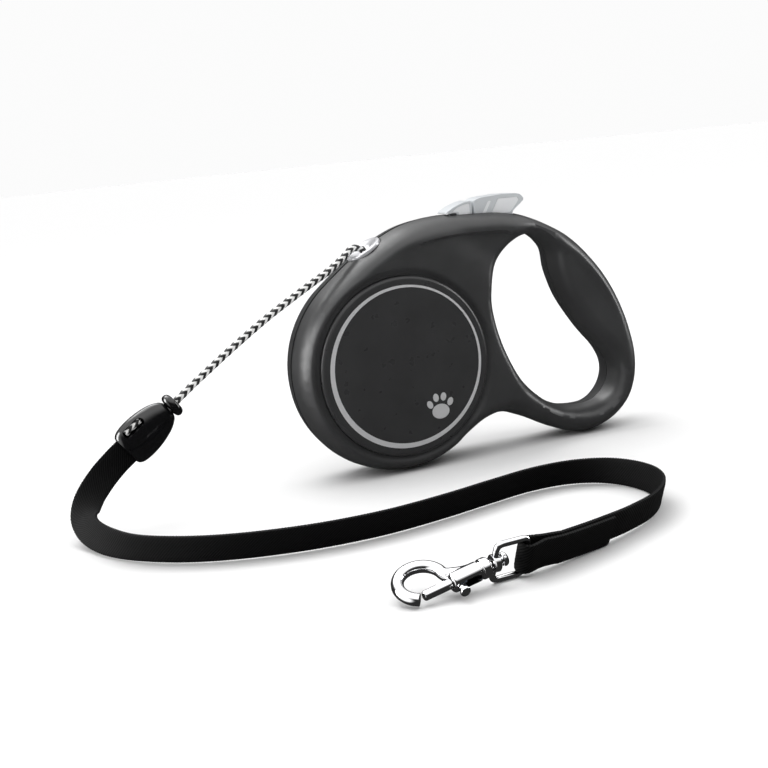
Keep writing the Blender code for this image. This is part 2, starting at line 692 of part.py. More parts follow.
# ---- brake button, lock slider, pawl ----
button_outline = [(6.3, 95.4), (24.2, 95.4), (24.2, 100.6), (29.6, 104.6), (29.9, 105.6), (28.6, 107.2),
                  (26.5, 107.9), (19.5, 108.3), (9.4, 107.9), (6.3, 107.0)]
prism("brake_button", [(a, -b) for a, b in button_outline],
      -BUTTON_HALF_WIDTH, BUTTON_HALF_WIDTH, GREY)
lock_outline = [(-1.6, 99.0), (5.2, 99.0), (5.2, 107.2), (1.6, 106.8), (-2.6, 105.5), (-6.0, 103.8),
                (-6.8, 102.9), (-1.6, 102.9)]
prism("lock_slider", [(a, -b) for a, b in lock_outline],
      -BUTTON_HALF_WIDTH, BUTTON_HALF_WIDTH, GREY)

PAWL_DIRECTION = Vector((DRUM_X - 11.0, 0.0, DRUM_Z - 94.0)).normalized()
pawl_start = Vector((11.0, -9.0, 94.0))
pawl_length = math.hypot(11.0 - DRUM_X, 94.0 - DRUM_Z) - 39.2
prism("brake_pawl",
      [(-1.2, 0.2), (0.6, 1.3), (pawl_length, 1.3), (pawl_length, -0.6),
       (pawl_length - 5.0, -1.6), (0.8, -1.6), (-0.8, -0.8)],
      0.0, 7.0, STEEL, tuple(pawl_start), (0.0, 1.0, 0.0), tuple(PAWL_DIRECTION))
brake_coil = coil((18.5, 0.0, 94.7), (0, 0, -1), (1, 0, 0), 2.0, 3.2, 3, 9)
round_cord("brake_spring", brake_coil, 0.6, SPRING_STEEL, 1)

# ---- screws ----
for number, (x, z) in enumerate(SCREWS):
    lathe("casing_screw_%d" % (number + 1),
          [(0.0, -8.0), (1.1, -7.4), (1.1, 9.3), (2.5, 9.3), (2.5, 11.2), (0.0, 11.2)],
          STEEL, (x, 0.0, z), steps=10)

# ---- lead cord and connector ----
lead = even_spacing(catmull(LEAD_ROUTE, 8, False), 40, False)
round_cord("lead_cord", [tuple(p) for p in lead], CORD_DIAMETER, BRAID)

CONNECTOR_AT = (CONNECTOR_X, CONNECTOR_Y, CONNECTOR_Z)
CONNECTOR_OUT = (-math.cos(CONNECTOR_PITCH), 0.0, -math.sin(CONNECTOR_PITCH))
CONNECTOR_SIDE = (-math.sin(CONNECTOR_PITCH), 0.0, math.cos(CONNECTOR_PITCH))
lathe("connector_collar",
      [(1.9, -1.5), (3.6, -1.5), (4.7, -0.9), (5.0, 0.0), (4.7, 0.9), (3.6, 1.5), (1.9, 1.5)],
      GLOSS, CONNECTOR_AT, CONNECTOR_OUT, CONNECTOR_SIDE, 20)
cap = lathe("connector_cap",
            [(0.0, CAP_START), (3.4, CAP_START), (5.0, 3.6), (6.8, 7.6), (7.8, 12.6), (8.2, 17.4),
             (8.1, 21.6), (7.3, CAP_LENGTH), (0.0, CAP_LENGTH)],
            GLOSS, CONNECTOR_AT, CONNECTOR_OUT, CONNECTOR_SIDE, 24, CAP_FLATNESS)
cap_bore = lathe("cap_bore_cut", [(0.0, 0.0), (1.9, 0.0), (1.9, 11.0), (0.0, 11.0)], GLOSS,
                 CONNECTOR_AT, CONNECTOR_OUT, CONNECTOR_SIDE, 16)
cut(cap, cap_bore)
strap_slot = prism("cap_slot_cut", [(-6.1, -1.1), (6.1, -1.1), (6.1, 1.1), (-6.1, 1.1)], 17.0, 26.0,
                   GLOSS, CONNECTOR_AT, CONNECTOR_OUT, CONNECTOR_SIDE)
cut(cap, strap_slot)
# The window opens through the front wall, close to the upper edge.
cap_window = [(12.2, 3.7), (14.0, 3.85), (20.6, 3.95), (21.2, 5.5), (20.6, 7.1), (14.0, 7.1), (12.2, 6.8),
              (11.3, 5.3)]
window = prism("cap_window_cut", cap_window, -6.0, WINDOW_FLOOR, GLOSS, CONNECTOR_AT, (0, 1, 0),
               CONNECTOR_OUT)
cut(cap, window)

# ---- hook directions ----
eye_at = Vector(EYE_AT)
eye_along = Vector((math.cos(EYE_YAW), math.sin(EYE_YAW), 0.0))
eye_up = Vector((0.0, -math.sin(STRAP_LEAN), math.cos(STRAP_LEAN)))
eye_up = (eye_up - eye_along * eye_up.dot(eye_along)).normalized()
eye_face = eye_along.cross(eye_up)
hook_axis = (eye_along * math.cos(HOOK_DROOP) - Vector((0, 0, 1)) * math.sin(HOOK_DROOP)).normalized()
hook_level = Vector((0, 0, 1)).cross(hook_axis).normalized() * -1.0
hook_upright = hook_axis.cross(hook_level) * -1.0
hook_side = hook_level * math.cos(HOOK_ROLL) + hook_upright * math.sin(HOOK_ROLL)
bar_at = eye_at - eye_along * BAR_OFFSET


def strap_path():
    """Centreline and edge directions of the strap, with its fold round the eye's bar."""
    lower = (0.0, math.sin(STRAP_LEAN), -math.cos(STRAP_LEAN))
    edges = STRAP_EDGE + [lower] * (len(STRAP_ROUTE) - len(STRAP_EDGE))
    rows = np.hstack([np.array(STRAP_ROUTE), np.array(edges)])
    smooth_rows = catmull(rows, 6, False)
    main = even_spacing(smooth_rows, 62, False)
    turn = 2.3
    wrap = []
    for back, away in ((6.0, 1.2), (3.0, 1.8), (1.2, 2.2)):
        wrap.append(bar_at - eye_along * back + eye_face * away)
    for k in range(7):
        angle = math.pi * k / 6
        wrap.append(bar_at + eye_along * (turn * math.sin(angle)) + eye_face * (turn * math.cos(angle)))
    for back, away in ((1.2, 2.2), (3.0, 1.8), (6.0, 1.2)):
        wrap.append(bar_at - eye_along * back - eye_face * away)
    down = -eye_up
    wrap_rows = np.array([list(p) + list(down) for p in wrap])
    fold = []
    travelled = 6.0
    index = len(main) - 1
    while travelled < STRAP_FOLD_LENGTH:
        tangent = Vector(main[index][:3]) - Vector(main[index - 1][:3])
        face = Vector(main[index][3:]).cross(tangent).normalized()
        if face.dot(eye_face) < 0.0:
            face = -face
        layer = STRAP_THICKNESS + GAP + 0.15
        fold.append(list(Vector(main[index][:3]) - face * layer) + list(main[index][3:]))
        travelled += tangent.length
        index -= 1
    rows = np.vstack([main, wrap_rows, np.array(fold)])
    return rows[:, :3], rows[:, 3:]


strap_line, strap_edges = strap_path()
ribbon("strap", strap_line, strap_edges, STRAP_WIDTH, STRAP_THICKNESS, WEBBING)

# ---- swivel eye ----
low_u = -(BAR_OFFSET + 0.5 * EYE_BAR)
high_u = 1.2
tall = EYE_HALF_HEIGHT
trim = 1.6
eye_outline = [(low_u + trim, -tall), (high_u - trim, -tall), (high_u, -tall + trim), (high_u, tall - trim),
               (high_u - trim, tall), (low_u + trim, tall), (low_u, tall - trim), (low_u, -tall + trim)]
eye = prism("swivel_eye", eye_outline, -0.5 * EYE_BAR, 0.5 * EYE_BAR, CHROME, eye_at,
            eye_face, eye_along)
boss = lathe("eye_boss_join", [(0.0, -1.2), (2.6, -1.2), (2.9, -0.9), (2.9, 0.9), (2.6, 1.2), (0.0, 1.2)],
             CHROME, eye_at, eye_along, eye_up, 16)
join(eye, boss)
window_outline = [(low_u + EYE_BAR, -tall + EYE_BAR), (-1.2, -tall + EYE_BAR), (-1.2, tall - EYE_BAR),
                  (low_u + EYE_BAR, tall - EYE_BAR)]
cut(eye, prism("eye_window_cut", window_outline, -4.0, 4.0, CHROME, eye_at, eye_face, eye_along))
cut(eye, lathe("eye_hole_cut", [(0.0, -3.0), (1.5, -3.0), (1.5, 3.0), (0.0, 3.0)], CHROME,
               eye_at, eye_along, eye_up, 14))

# ---- bolt snap ----
hook = lathe("hook_body",
             [(0.0, -4.2), (1.8, -4.2), (2.3, -3.6), (2.3, -2.6), (1.0, -2.2), (1.0, 2.1), (2.3, 2.1),
              (3.3, 2.8), (3.3, 5.2), (2.7, 5.5), (2.7, 6.0), (3.4, 6.3), (3.4, 15.2), (2.9, 15.8),
              (0.0, 15.8)],
             CHROME, eye_at, hook_axis, hook_side, 16)
arm = []
for u, v in ((11.6, 2.4), (13.4, 2.9), (14.9, 3.9)):
    arm.append(eye_at + hook_axis * u + hook_side * v)
for k in range(17):
    angle = math.radians(180.0 - HOOK_SWEEP * k / 16)
    u = HOOK_RING_AT + HOOK_RING_RADIUS * math.cos(angle)
    v = HOOK_RING_SIDE + HOOK_RING_RADIUS * math.sin(angle)
    arm.append(eye_at + hook_axis * u + hook_side * v)


def rod(name, route, radius, sides, flat, look):
    """Round rod swept along a route that stays in one plane; flat is square to the plane."""
    points = []
    count = len(route)
    for k, place in enumerate(route):
        ahead = route[min(k + 1, count - 1)] - route[max(k - 1, 0)]
        across = ahead.normalized().cross(flat)
        for j in range(sides):
            angle = 2.0 * math.pi * j / sides
            points.append(tuple(place + across * (radius * math.cos(angle))
                                + flat * (radius * math.sin(angle))))
    faces = [tuple(range(sides)), tuple(range(count * sides - 1, (count - 1) * sides - 1, -1))]
    for k in range(count - 1):
        for j in range(sides):
            n = (j + 1) % sides
            faces.append((k * sides + j, k * sides + n, (k + 1) * sides + n, (k + 1) * sides + j))
    return add_mesh(name, points, consistent(faces), look)


join(hook, rod("hook_arm_join", arm, HOOK_WIRE, 10, hook_axis.cross(hook_side), CHROME))
cut(hook, lathe("hook_bore_cut", [(0.0, 4.4), (2.0, 4.4), (2.0, 20.5), (0.0, 20.5)], CHROME,
                eye_at, hook_axis, hook_side, 12))
cut(hook, prism("hook_slot_cut", [(6.6, -1.4), (15.3, -1.4), (15.3, 1.4), (6.6, 1.4)], 0.0, 6.0,
                CHROME, eye_at, -hook_side, hook_axis))

bolt = lathe("hook_bolt", [(0.0, 13.0), (1.2, 13.0), (1.6, 13.4), (1.6, 25.2), (1.2, 25.6), (0.0, 25.6)],
             CHROME, eye_at, hook_axis, hook_side, 14)
join(bolt, lathe("knob_join", [(0.0, 0.2), (1.0, 0.2), (1.0, 4.6), (1.7, 4.9), (1.7, 5.7), (1.2, 6.1),
                               (0.0, 6.1)],
                 CHROME, eye_at + hook_axis * 14.1, -hook_side, hook_axis, 12))
bolt_coil = coil(eye_at + hook_axis * 11.0, hook_axis, hook_side, 1.35, 1.6, 2.5, 9)
round_cord("bolt_spring", bolt_coil, 0.45, SPRING_STEEL, 1)

# ---- braid showing in the cap's window ----
tail = []
for along, across in ((12.7, 5.3), (14.4, 5.45), (16.4, 5.55), (18.4, 5.55), (20.1, 5.55)):
    tail.append(tuple(Vector(CONNECTOR_AT) + Vector(CONNECTOR_OUT) * along
                      + Vector(CONNECTOR_SIDE) * across + Vector((0.0, TAIL_SETBACK, 0.0))))
round_cord("cord_tail", tail, TAIL_DIAMETER, BRAID)
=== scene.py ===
"""Looks of the retractable cord leash: casing, discs, buttons, braided cord, strap and bolt snap."""
import math

import bmesh
import bpy
import numpy as np
from mathutils import Matrix, Vector
from mathutils.geometry import delaunay_2d_cdt


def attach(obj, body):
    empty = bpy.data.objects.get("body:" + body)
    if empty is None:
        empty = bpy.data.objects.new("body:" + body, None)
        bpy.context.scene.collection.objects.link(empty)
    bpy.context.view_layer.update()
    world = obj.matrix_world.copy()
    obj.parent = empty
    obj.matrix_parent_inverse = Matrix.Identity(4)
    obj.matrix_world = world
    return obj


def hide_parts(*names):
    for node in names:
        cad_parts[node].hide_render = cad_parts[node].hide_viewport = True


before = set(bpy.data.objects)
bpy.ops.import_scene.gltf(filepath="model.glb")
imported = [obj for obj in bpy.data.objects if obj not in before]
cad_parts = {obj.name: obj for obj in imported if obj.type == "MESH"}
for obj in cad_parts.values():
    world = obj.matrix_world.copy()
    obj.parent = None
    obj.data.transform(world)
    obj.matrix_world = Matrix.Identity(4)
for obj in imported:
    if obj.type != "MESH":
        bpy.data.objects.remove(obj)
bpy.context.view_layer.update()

MM = 0.001

# ---- sizes of the object, millimetres ----
DRUM_RADIUS = 44.6
DRUM_X = -35.0
DRUM_Z = DRUM_RADIUS
DRUM_HALF = 14.2
WEB_HALF = 12.0
WALL = 1.8
CAVITY_HALF = 10.2
WEB_CAVITY_HALF = 9.6
SEAM_HALF = 0.15
GROOVE_HALF = 0.75
GROOVE_DEPTH = 0.5

# Edge radii of the casing, a little softer than those of the plain shells in the frame.
DRUM_ROUND = 6.6
GRIP_ROUND = 7.6
HOLE_ROUND = 5.4

DISC_RADIUS = 36.9
DISC_SEAT = 12.2
DISC_FACE = 14.8
SEAT_RADIUS = 37.1
RING_RADIUS = 33.4
RING_INNER = 31.9
RING_SHIFT = 0.45
RING_PROUD = 0.12
FOIL_BACK = 0.02

CORD_DIAMETER = 3.0
STRAP_WIDTH = 11.5
STRAP_THICKNESS = 1.4
STRAP_LEAN = math.radians(23.0)
STRAP_FOLD_LENGTH = 30.0

EYELET_TILT = math.radians(29.5)
EYELET_AT = (-43.2, 0.0, 92.9)
CONNECTOR_AT = (-130.8, -6.0, 44.1)
CONNECTOR_PITCH = math.radians(36.3)
CAP_FLATNESS = 0.58
WINDOW_FLOOR = 0.3
TAIL_DIAMETER = 2.6
TAIL_SETBACK = -1.4
SCREWS = [(-14.0, 91.5), (5.5, 22.5), (70.1, 15.1), (61.5, 55.0), (48.0, 81.0)]

EYE_AT = (-71.0, -151.3, 7.6)
EYE_YAW = math.radians(183.0)
EYE_HALF_HEIGHT = 7.85
EYE_BAR = 1.8
BAR_OFFSET = 11.0
HOOK_DROOP = math.radians(10.0)
HOOK_ROLL = math.radians(20.0)
HOOK_WIRE = 2.0
HOOK_RING_RADIUS = 7.4
HOOK_RING_AT = 22.9
HOOK_RING_SIDE = 5.4
HOOK_SWEEP = 234.0

# Outline of the casing from the drum's upper left, over the spine, down the grip
# and back under the web (x, z).
OUTER_POINTS = [
    (-50.5, 88.6), (-43.0, 93.1), (-34.5, 97.4), (-26.5, 100.4), (-17.0, 102.1), (-6.0, 102.6),
    (6.0, 102.2), (18.0, 101.2), (30.0, 98.2), (41.0, 93.0), (50.0, 87.2), (58.5, 79.0),
    (66.5, 68.5), (72.8, 56.6), (77.3, 43.5), (79.5, 30.5), (77.9, 18.6), (72.6, 9.2),
    (62.5, 2.4), (49.5, 0.1), (36.0, 4.6), (22.5, 11.6), (11.0, 15.9), (2.2, 14.9)]
DRUM_ARC_START = -50.0
DRUM_ARC_END = -232.0
HOLE_POINTS = [
    (10.2, 67.5), (10.6, 57.0), (13.4, 45.3), (18.6, 33.6), (26.6, 23.2), (36.6, 15.6),
    (47.5, 12.5), (58.6, 13.0), (65.6, 18.6), (67.6, 26.2), (64.2, 34.4), (55.4, 45.4),
    (46.2, 59.6), (41.6, 72.2), (39.6, 83.2), (31.8, 89.9), (22.4, 87.6), (13.8, 79.9)]

# Route of the lead cord from the eyelet to the connector (x, y, z).
LEAD_ROUTE = [
    (-41.0, 0.0, 89.0), (-42.4, 0.0, 91.4), (-44.0, -0.2, 93.0), (-46.5, -0.9, 93.9),
    (-49.8, -2.0, 93.3), (-53.6, -3.4, 90.8), (-61.0, -4.9, 86.5), (-68.7, -5.7, 82.8),
    (-77.0, -6.0, 78.5), (-85.3, -6.0, 74.0), (-93.6, -6.0, 69.1), (-101.7, -6.0, 64.0),
    (-108.0, -6.0, 59.9), (-114.1, -6.0, 55.8), (-121.0, -6.0, 51.1), (-127.6, -6.0, 46.4),
    (-133.5, -6.0, 42.1), (-139.0, -6.0, 38.1)]

# Route of the strap's centreline from the connector to the hook (x, y, z).
STRAP_ROUTE = [
    (-147.6, -6.0, 31.8), (-151.4, -6.0, 29.0), (-155.6, -6.2, 25.9), (-161.2, -7.0, 21.2),
    (-166.8, -9.2, 15.6), (-170.2, -13.6, 11.0), (-171.2, -20.5, 8.1), (-170.2, -29.5, 6.7),
    (-166.8, -41.0, 6.2), (-160.2, -53.0, 5.95), (-150.0, -63.5, 5.85), (-136.5, -72.5, 5.82),
    (-119.5, -79.5, 5.82), (-100.0, -84.0, 5.82), (-78.0, -85.0, 5.82), (-55.0, -81.8, 5.82),
    (-33.0, -76.8, 5.82), (-14.0, -73.2, 5.82), (1.5, -74.5, 5.82), (12.4, -81.4, 5.82),
    (18.0, -92.6, 5.82), (18.4, -105.6, 5.82), (12.8, -118.4, 5.82), (1.6, -129.2, 5.82),
    (-13.0, -136.8, 6.0), (-27.0, -141.8, 6.3), (-38.0, -145.4, 6.7), (-47.0, -148.1, 7.1)]
# Directions from the centreline to the strap's lower edge at the first places of the route.
# At all later places the strap leans by STRAP_LEAN.
STRAP_EDGE = [
    (-0.59, 0.0, 0.81), (-0.59, 0.0, 0.81), (-0.62, 0.0, 0.78), (-0.76, 0.10, 0.62),
    (-0.88, 0.20, 0.38), (-0.86, 0.42, 0.0), (-0.66, 0.34, -0.60), (-0.40, 0.32, -0.85),
    (-0.20, 0.35, -0.92)]


# ---- camera, floor and light

CAMERA_AT = Vector((-0.24005, -0.49226, 0.14184))
CAMERA_AIM = Vector((-0.03994, 0.0, 0.03629))
CAMERA_ROLL = math.radians(5.71)
CAMERA_LENS = 61.19

SKY_DARK = 0.03
SKY_TOP = 1.72
SKY_LEFT = 1.5
BACKDROP_RADIUS = 5.0
BACKDROP_LEVEL = 0.97
FLOOR_COLOR = 0.80

# Softboxes: name, place, width and height, power, and whether they light highlights only.
LIGHT_AIM = (-0.03, -0.02, 0.05)
SOFTBOXES = [
    ("softbox_above", (-0.20, 0.25, 0.80), (0.60, 0.45), 2.0, False),
    ("softbox_left", (-0.85, 0.12, 0.24), (0.35, 0.60), 9.0, True),
    ("softbox_right", (0.85, -0.12, 0.30), (0.30, 0.60), 4.0, True),
    ("softbox_back", (-0.25, 0.50, 0.75), (0.60, 0.25), 2.3, True)]


def linked(name, data):
    """New object with the data, in the scene."""
    made = bpy.data.objects.new(name, data)
    bpy.context.scene.collection.objects.link(made)
    return made


def make_camera():
    data = bpy.data.cameras.new("camera")
    data.lens = CAMERA_LENS
    data.sensor_width = 36.0
    data.clip_start = 0.01
    made = linked("camera", data)
    back = (CAMERA_AT - CAMERA_AIM).normalized()
    level = Vector((0.0, 0.0, 1.0)).cross(back).normalized()
    upright = back.cross(level)
    right = level * math.cos(CAMERA_ROLL) - upright * math.sin(CAMERA_ROLL)
    above = level * math.sin(CAMERA_ROLL) + upright * math.cos(CAMERA_ROLL)
    turn = Matrix((right, above, back)).transposed().to_4x4()
    made.matrix_world = Matrix.Translation(CAMERA_AT) @ turn
    bpy.context.scene.camera = made


def area_light(name, place, size, power, highlight_only):
    data = bpy.data.lights.new(name, "AREA")
    data.shape = "RECTANGLE"
    data.size, data.size_y = size
    data.energy = power
    made = linked(name, data)
    made.visible_diffuse = not highlight_only
    made.location = place
    made.rotation_euler = (Vector(LIGHT_AIM) - Vector(place)).to_track_quat("-Z", "Y").to_euler()


def make_sky():
    """Bright overhead and on the far left, and dark elsewhere so that black plastic stays black."""
    world = bpy.data.worlds.new("studio")
    world.use_nodes = True
    nodes, links = world.node_tree.nodes, world.node_tree.links
    place = nodes.new("ShaderNodeTexCoord")
    split = nodes.new("ShaderNodeSeparateXYZ")
    links.new(place.outputs["Generated"], split.inputs["Vector"])
    overhead = ("Z", 0.30, 0.80, SKY_DARK, SKY_TOP)
    left_side = ("X", -0.72, -0.96, 0.0, SKY_LEFT)
    parts = []
    for axis, start, end, low, high in (overhead, left_side):
        part = nodes.new("ShaderNodeMapRange")
        part.interpolation_type = "SMOOTHSTEP"
        part.inputs["From Min"].default_value = start
        part.inputs["From Max"].default_value = end
        part.inputs["To Min"].default_value = low
        part.inputs["To Max"].default_value = high
        links.new(split.outputs[axis], part.inputs["Value"])
        parts.append(part)
    both = nodes.new("ShaderNodeMath")
    both.operation = "ADD"
    links.new(parts[0].outputs["Result"], both.inputs[0])
    links.new(parts[1].outputs["Result"], both.inputs[1])
    links.new(both.outputs["Value"], nodes["Background"].inputs["Strength"])
    nodes["Background"].inputs["Color"].default_value = (1.0, 1.0, 1.0, 1.0)
    bpy.context.scene.world = world


def make_backdrop():
    """Even pale surround that is seen but casts no light and shows in no reflection."""
    mesh = bpy.data.meshes.new("backdrop")
    ball = bmesh.new()
    bmesh.ops.create_icosphere(ball, subdivisions=4, radius=BACKDROP_RADIUS)
    ball.to_mesh(mesh)
    ball.free()
    look, _, _, shader = new_material("backdrop_look")
    shader.inputs["Base Color"].default_value = (0.0, 0.0, 0.0, 1.0)
    shader.inputs["Specular IOR Level"].default_value = 0.0
    shader.inputs["Emission Color"].default_value = (1.0, 1.0, 1.0, 1.0)
    shader.inputs["Emission Strength"].default_value = BACKDROP_LEVEL
    mesh.materials.append(look)
    made = linked("backdrop", mesh)
    made.visible_diffuse = False
    made.visible_glossy = False
    made.visible_transmission = False
    made.visible_shadow = False


def make_floor():
    mesh = bpy.data.meshes.new("floor")
    reach = BACKDROP_RADIUS
    mesh.from_pydata([(-reach, -reach, 0), (reach, -reach, 0), (reach, reach, 0), (-reach, reach, 0)],
                     [], [(0, 1, 2, 3)])
    look, _, _, shader = new_material("floor_look")
    shader.inputs["Base Color"].default_value = (FLOOR_COLOR, FLOOR_COLOR, FLOOR_COLOR, 1.0)
    shader.inputs["Roughness"].default_value = 1.0
    shader.inputs["Specular IOR Level"].default_value = 0.0
    mesh.materials.append(look)
    made = linked("floor", mesh)
    made.visible_glossy = False


def make_studio():
    bpy.context.scene.view_settings.view_transform = "Standard"
    make_sky()
    make_backdrop()
    make_floor()
    for softbox in SOFTBOXES:
        area_light(*softbox)


# ---- materials

COAT_ROUGHNESS = 0.06
DRIFT_SIZE = 14.0
PATCH_SIZE = 5.0
PATCH_SHARE = 0.12
BLACK_YARN = (0.010, 0.010, 0.011)


def new_material(name):
    made = bpy.data.materials.new(name)
    made.use_nodes = True
    tree = made.node_tree
    return made, tree.nodes, tree.links, tree.nodes["Principled BSDF"]


def noise(nodes, links, size, detail=3.0):
    """Noise whose lumps are about size millimetres across."""
    place = nodes.new("ShaderNodeTexCoord")
    made = nodes.new("ShaderNodeTexNoise")
    made.inputs["Scale"].default_value = 1.0 / (size * MM)
    made.inputs["Detail"].default_value = detail
    links.new(place.outputs["Object"], made.inputs["Vector"])
    return made.outputs["Fac"]


def ramp(nodes, links, source, low, high, start=0.3, end=0.7):
    """Colours from low to high over the source's range."""
    made = nodes.new("ShaderNodeValToRGB")
    made.color_ramp.elements[0].position = start
    made.color_ramp.elements[1].position = end
    made.color_ramp.elements[0].color = (*low, 1.0)
    made.color_ramp.elements[1].color = (*high, 1.0)
    links.new(source, made.inputs["Fac"])
    return made.outputs["Color"]


def bump(nodes, links, source, depth, strength, shader):
    made = nodes.new("ShaderNodeBump")
    made.inputs["Distance"].default_value = depth * MM
    made.inputs["Strength"].default_value = strength
    links.new(source, made.inputs["Height"])
    links.new(made.outputs["Normal"], shader.inputs["Normal"])


def surface(name, color, rough, metallic=0.0, grain=0.3, depth=0.02, strength=0.25, vary=0.08, coat=0.0,
            specular=0.5):
    """Solid material with a fine grain, uneven gloss and a slight drift of colour."""
    made, nodes, links, shader = new_material(name)
    shader.inputs["Metallic"].default_value = metallic
    shader.inputs["Specular IOR Level"].default_value = specular
    shader.inputs["Coat Weight"].default_value = coat
    shader.inputs["Coat Roughness"].default_value = COAT_ROUGHNESS
    drift = noise(nodes, links, DRIFT_SIZE)
    low = tuple(c * (1.0 - vary) for c in color)
    high = tuple(min(1.0, c * (1.0 + vary)) for c in color)
    links.new(ramp(nodes, links, drift, low, high), shader.inputs["Base Color"])
    smoothest = (rough * (1.0 - PATCH_SHARE),) * 3
    roughest = (rough * (1.0 + PATCH_SHARE),) * 3
    patch = ramp(nodes, links, noise(nodes, links, PATCH_SIZE), smoothest, roughest)
    links.new(patch, shader.inputs["Roughness"])
    bump(nodes, links, noise(nodes, links, grain, 2.0), depth, strength, shader)
    return made


def braid_material():
    """Black and white yarns, told apart by the braid's own tone."""
    made, nodes, links, shader = new_material("braid_look")
    tone = nodes.new("ShaderNodeAttribute")
    tone.attribute_name = "tone"
    color = ramp(nodes, links, tone.outputs["Fac"], BLACK_YARN, (0.86, 0.86, 0.85), 0.45, 0.55)
    links.new(color, shader.inputs["Base Color"])
    shader.inputs["Roughness"].default_value = 0.62
    shader.inputs["Sheen Weight"].default_value = 0.15
    bump(nodes, links, noise(nodes, links, 0.12, 2.0), 0.05, 0.5, shader)
    return made


def wound_material():
    """The same yarns where the cord lies wound and out of sight: black and white flecks."""
    made, nodes, links, shader = new_material("wound_look")
    flecks = noise(nodes, links, 1.3, 1.0)
    color = ramp(nodes, links, flecks, BLACK_YARN, (0.80, 0.80, 0.79), 0.47, 0.53)
    links.new(color, shader.inputs["Base Color"])
    shader.inputs["Roughness"].default_value = 0.65
    bump(nodes, links, flecks, 0.2, 0.6, shader)
    return made


def webbing_material():
    """Black nylon webbing with a fine slanting weave, a little lighter on the ribs as a painted sheen."""
    made, nodes, links, shader = new_material("webbing_look")
    place = nodes.new("ShaderNodeUVMap")
    place.uv_map = "UVMap"
    ribs = nodes.new("ShaderNodeTexWave")
    ribs.wave_type = "BANDS"
    ribs.bands_direction = "DIAGONAL"
    ribs.inputs["Scale"].default_value = 0.55
    ribs.inputs["Distortion"].default_value = 0.6
    ribs.inputs["Detail"].default_value = 1.0
    links.new(place.outputs["UV"], ribs.inputs["Vector"])
    # The lighter colour on the rib crests is a painted sheen, not a dye of the yarn.
    between, painted_rib_sheen = (0.0008, 0.0008, 0.0009), (0.0075, 0.0075, 0.0080)
    color = ramp(nodes, links, ribs.outputs["Fac"], between, painted_rib_sheen, 0.3, 1.0)
    links.new(color, shader.inputs["Base Color"])
    shader.inputs["Roughness"].default_value = 0.70
    shader.inputs["Specular IOR Level"].default_value = 0.12
    bump(nodes, links, ribs.outputs["Fac"], 0.12, 0.7, shader)
    return made


make_camera()
make_studio()

CASING = surface("casing_look", (0.038, 0.0385, 0.0395), 0.38, grain=0.22, depth=0.012, strength=0.18,
                 specular=0.45)
GLOSS = surface("gloss_look", (0.004, 0.004, 0.0045), 0.13, grain=6.0, depth=0.01, strength=0.05, coat=0.3)
DISC = surface("disc_look", (0.036, 0.036, 0.037), 0.30, grain=9.0, depth=0.004, strength=0.05,
               specular=0.30)
SILVER = surface("silver_look", (0.78, 0.78, 0.79), 0.32, 0.4, grain=0.15, depth=0.006, strength=0.2,
                 vary=0.03)
BRIGHT = surface("eyelet_look", (0.58, 0.58, 0.60), 0.24, 0.30, grain=0.5, depth=0.004, strength=0.1,
                 vary=0.02)
GREY = surface("button_look", (0.60, 0.625, 0.645), 0.34, grain=0.25, depth=0.008, strength=0.15,
               vary=0.02)
PALE = surface("panel_look", (0.85, 0.865, 0.88), 0.30, grain=0.25, depth=0.008, strength=0.15, vary=0.02)
STEEL = surface("steel_look", (0.52, 0.52, 0.53), 0.30, 1.0, grain=0.2, depth=0.01, strength=0.2)
CHROME = surface("chrome_look", (0.80, 0.80, 0.81), 0.07, 1.0, grain=2.5, depth=0.01, strength=0.06,
                 vary=0.02)
NYLON = surface("nylon_look", (0.72, 0.71, 0.66), 0.50, grain=0.4)
BLUED = surface("spring_look", (0.20, 0.24, 0.31), 0.28, 1.0, grain=0.6, depth=0.006)
BRAID = braid_material()
WEBBING = webbing_material()
WOUND = wound_material()
THREAD = surface("thread_look", (0.016, 0.016, 0.017), 0.60, grain=0.15, depth=0.03, strength=0.6)


# ---- mesh helpers

SHARP_ANGLE = 38.0


def add_piece(name, points, faces, look, body, replaced=(), sharp=SHARP_ANGLE):
    """One piece from points in millimetres; it rides on the body when one is named."""
    mesh = bpy.data.meshes.new(name)
    places = [tuple(c * MM for c in p) for p in points]
    mesh.from_pydata(places, [], [tuple(int(i) for i in f) for f in faces])
    fix = bmesh.new()
    fix.from_mesh(mesh)
    bmesh.ops.recalc_face_normals(fix, faces=fix.faces)
    fix.to_mesh(mesh)
    fix.free()
    mesh.materials.append(look)
    made = linked(name, mesh)
    shade(made, sharp)
    if body:
        settle(made, body, replaced)
    return made


def settle(piece, body, replaced=()):
    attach(piece, body)
    if replaced:
        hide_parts(*replaced)


def shade(piece, sharp=SHARP_ANGLE):
    piece.data.shade_smooth()
    piece.data.set_sharp_from_angle(angle=math.radians(sharp))


def combine(target, other, operation):
    """Boolean the other body into the target for good, and drop the other body."""
    step = target.modifiers.new("combine", "BOOLEAN")
    step.operation = operation
    step.solver = "EXACT"
    step.object = other
    bpy.context.view_layer.update()
    graph = bpy.context.evaluated_depsgraph_get()
    result = bpy.data.meshes.new_from_object(target.evaluated_get(graph))
    target.modifiers.clear()
    target.data = result
    bpy.data.objects.remove(other)
    shade(target)


def cut(target, other):
    combine(target, other, "DIFFERENCE")


def frame_from(origin, axis, side):
    """Three unit directions: along the axis, across it, and square to both."""
    along = Vector(axis).normalized()
    across = Vector(side) - along * Vector(side).dot(along)
    across.normalize()
    return Vector(origin), along, across, along.cross(across)


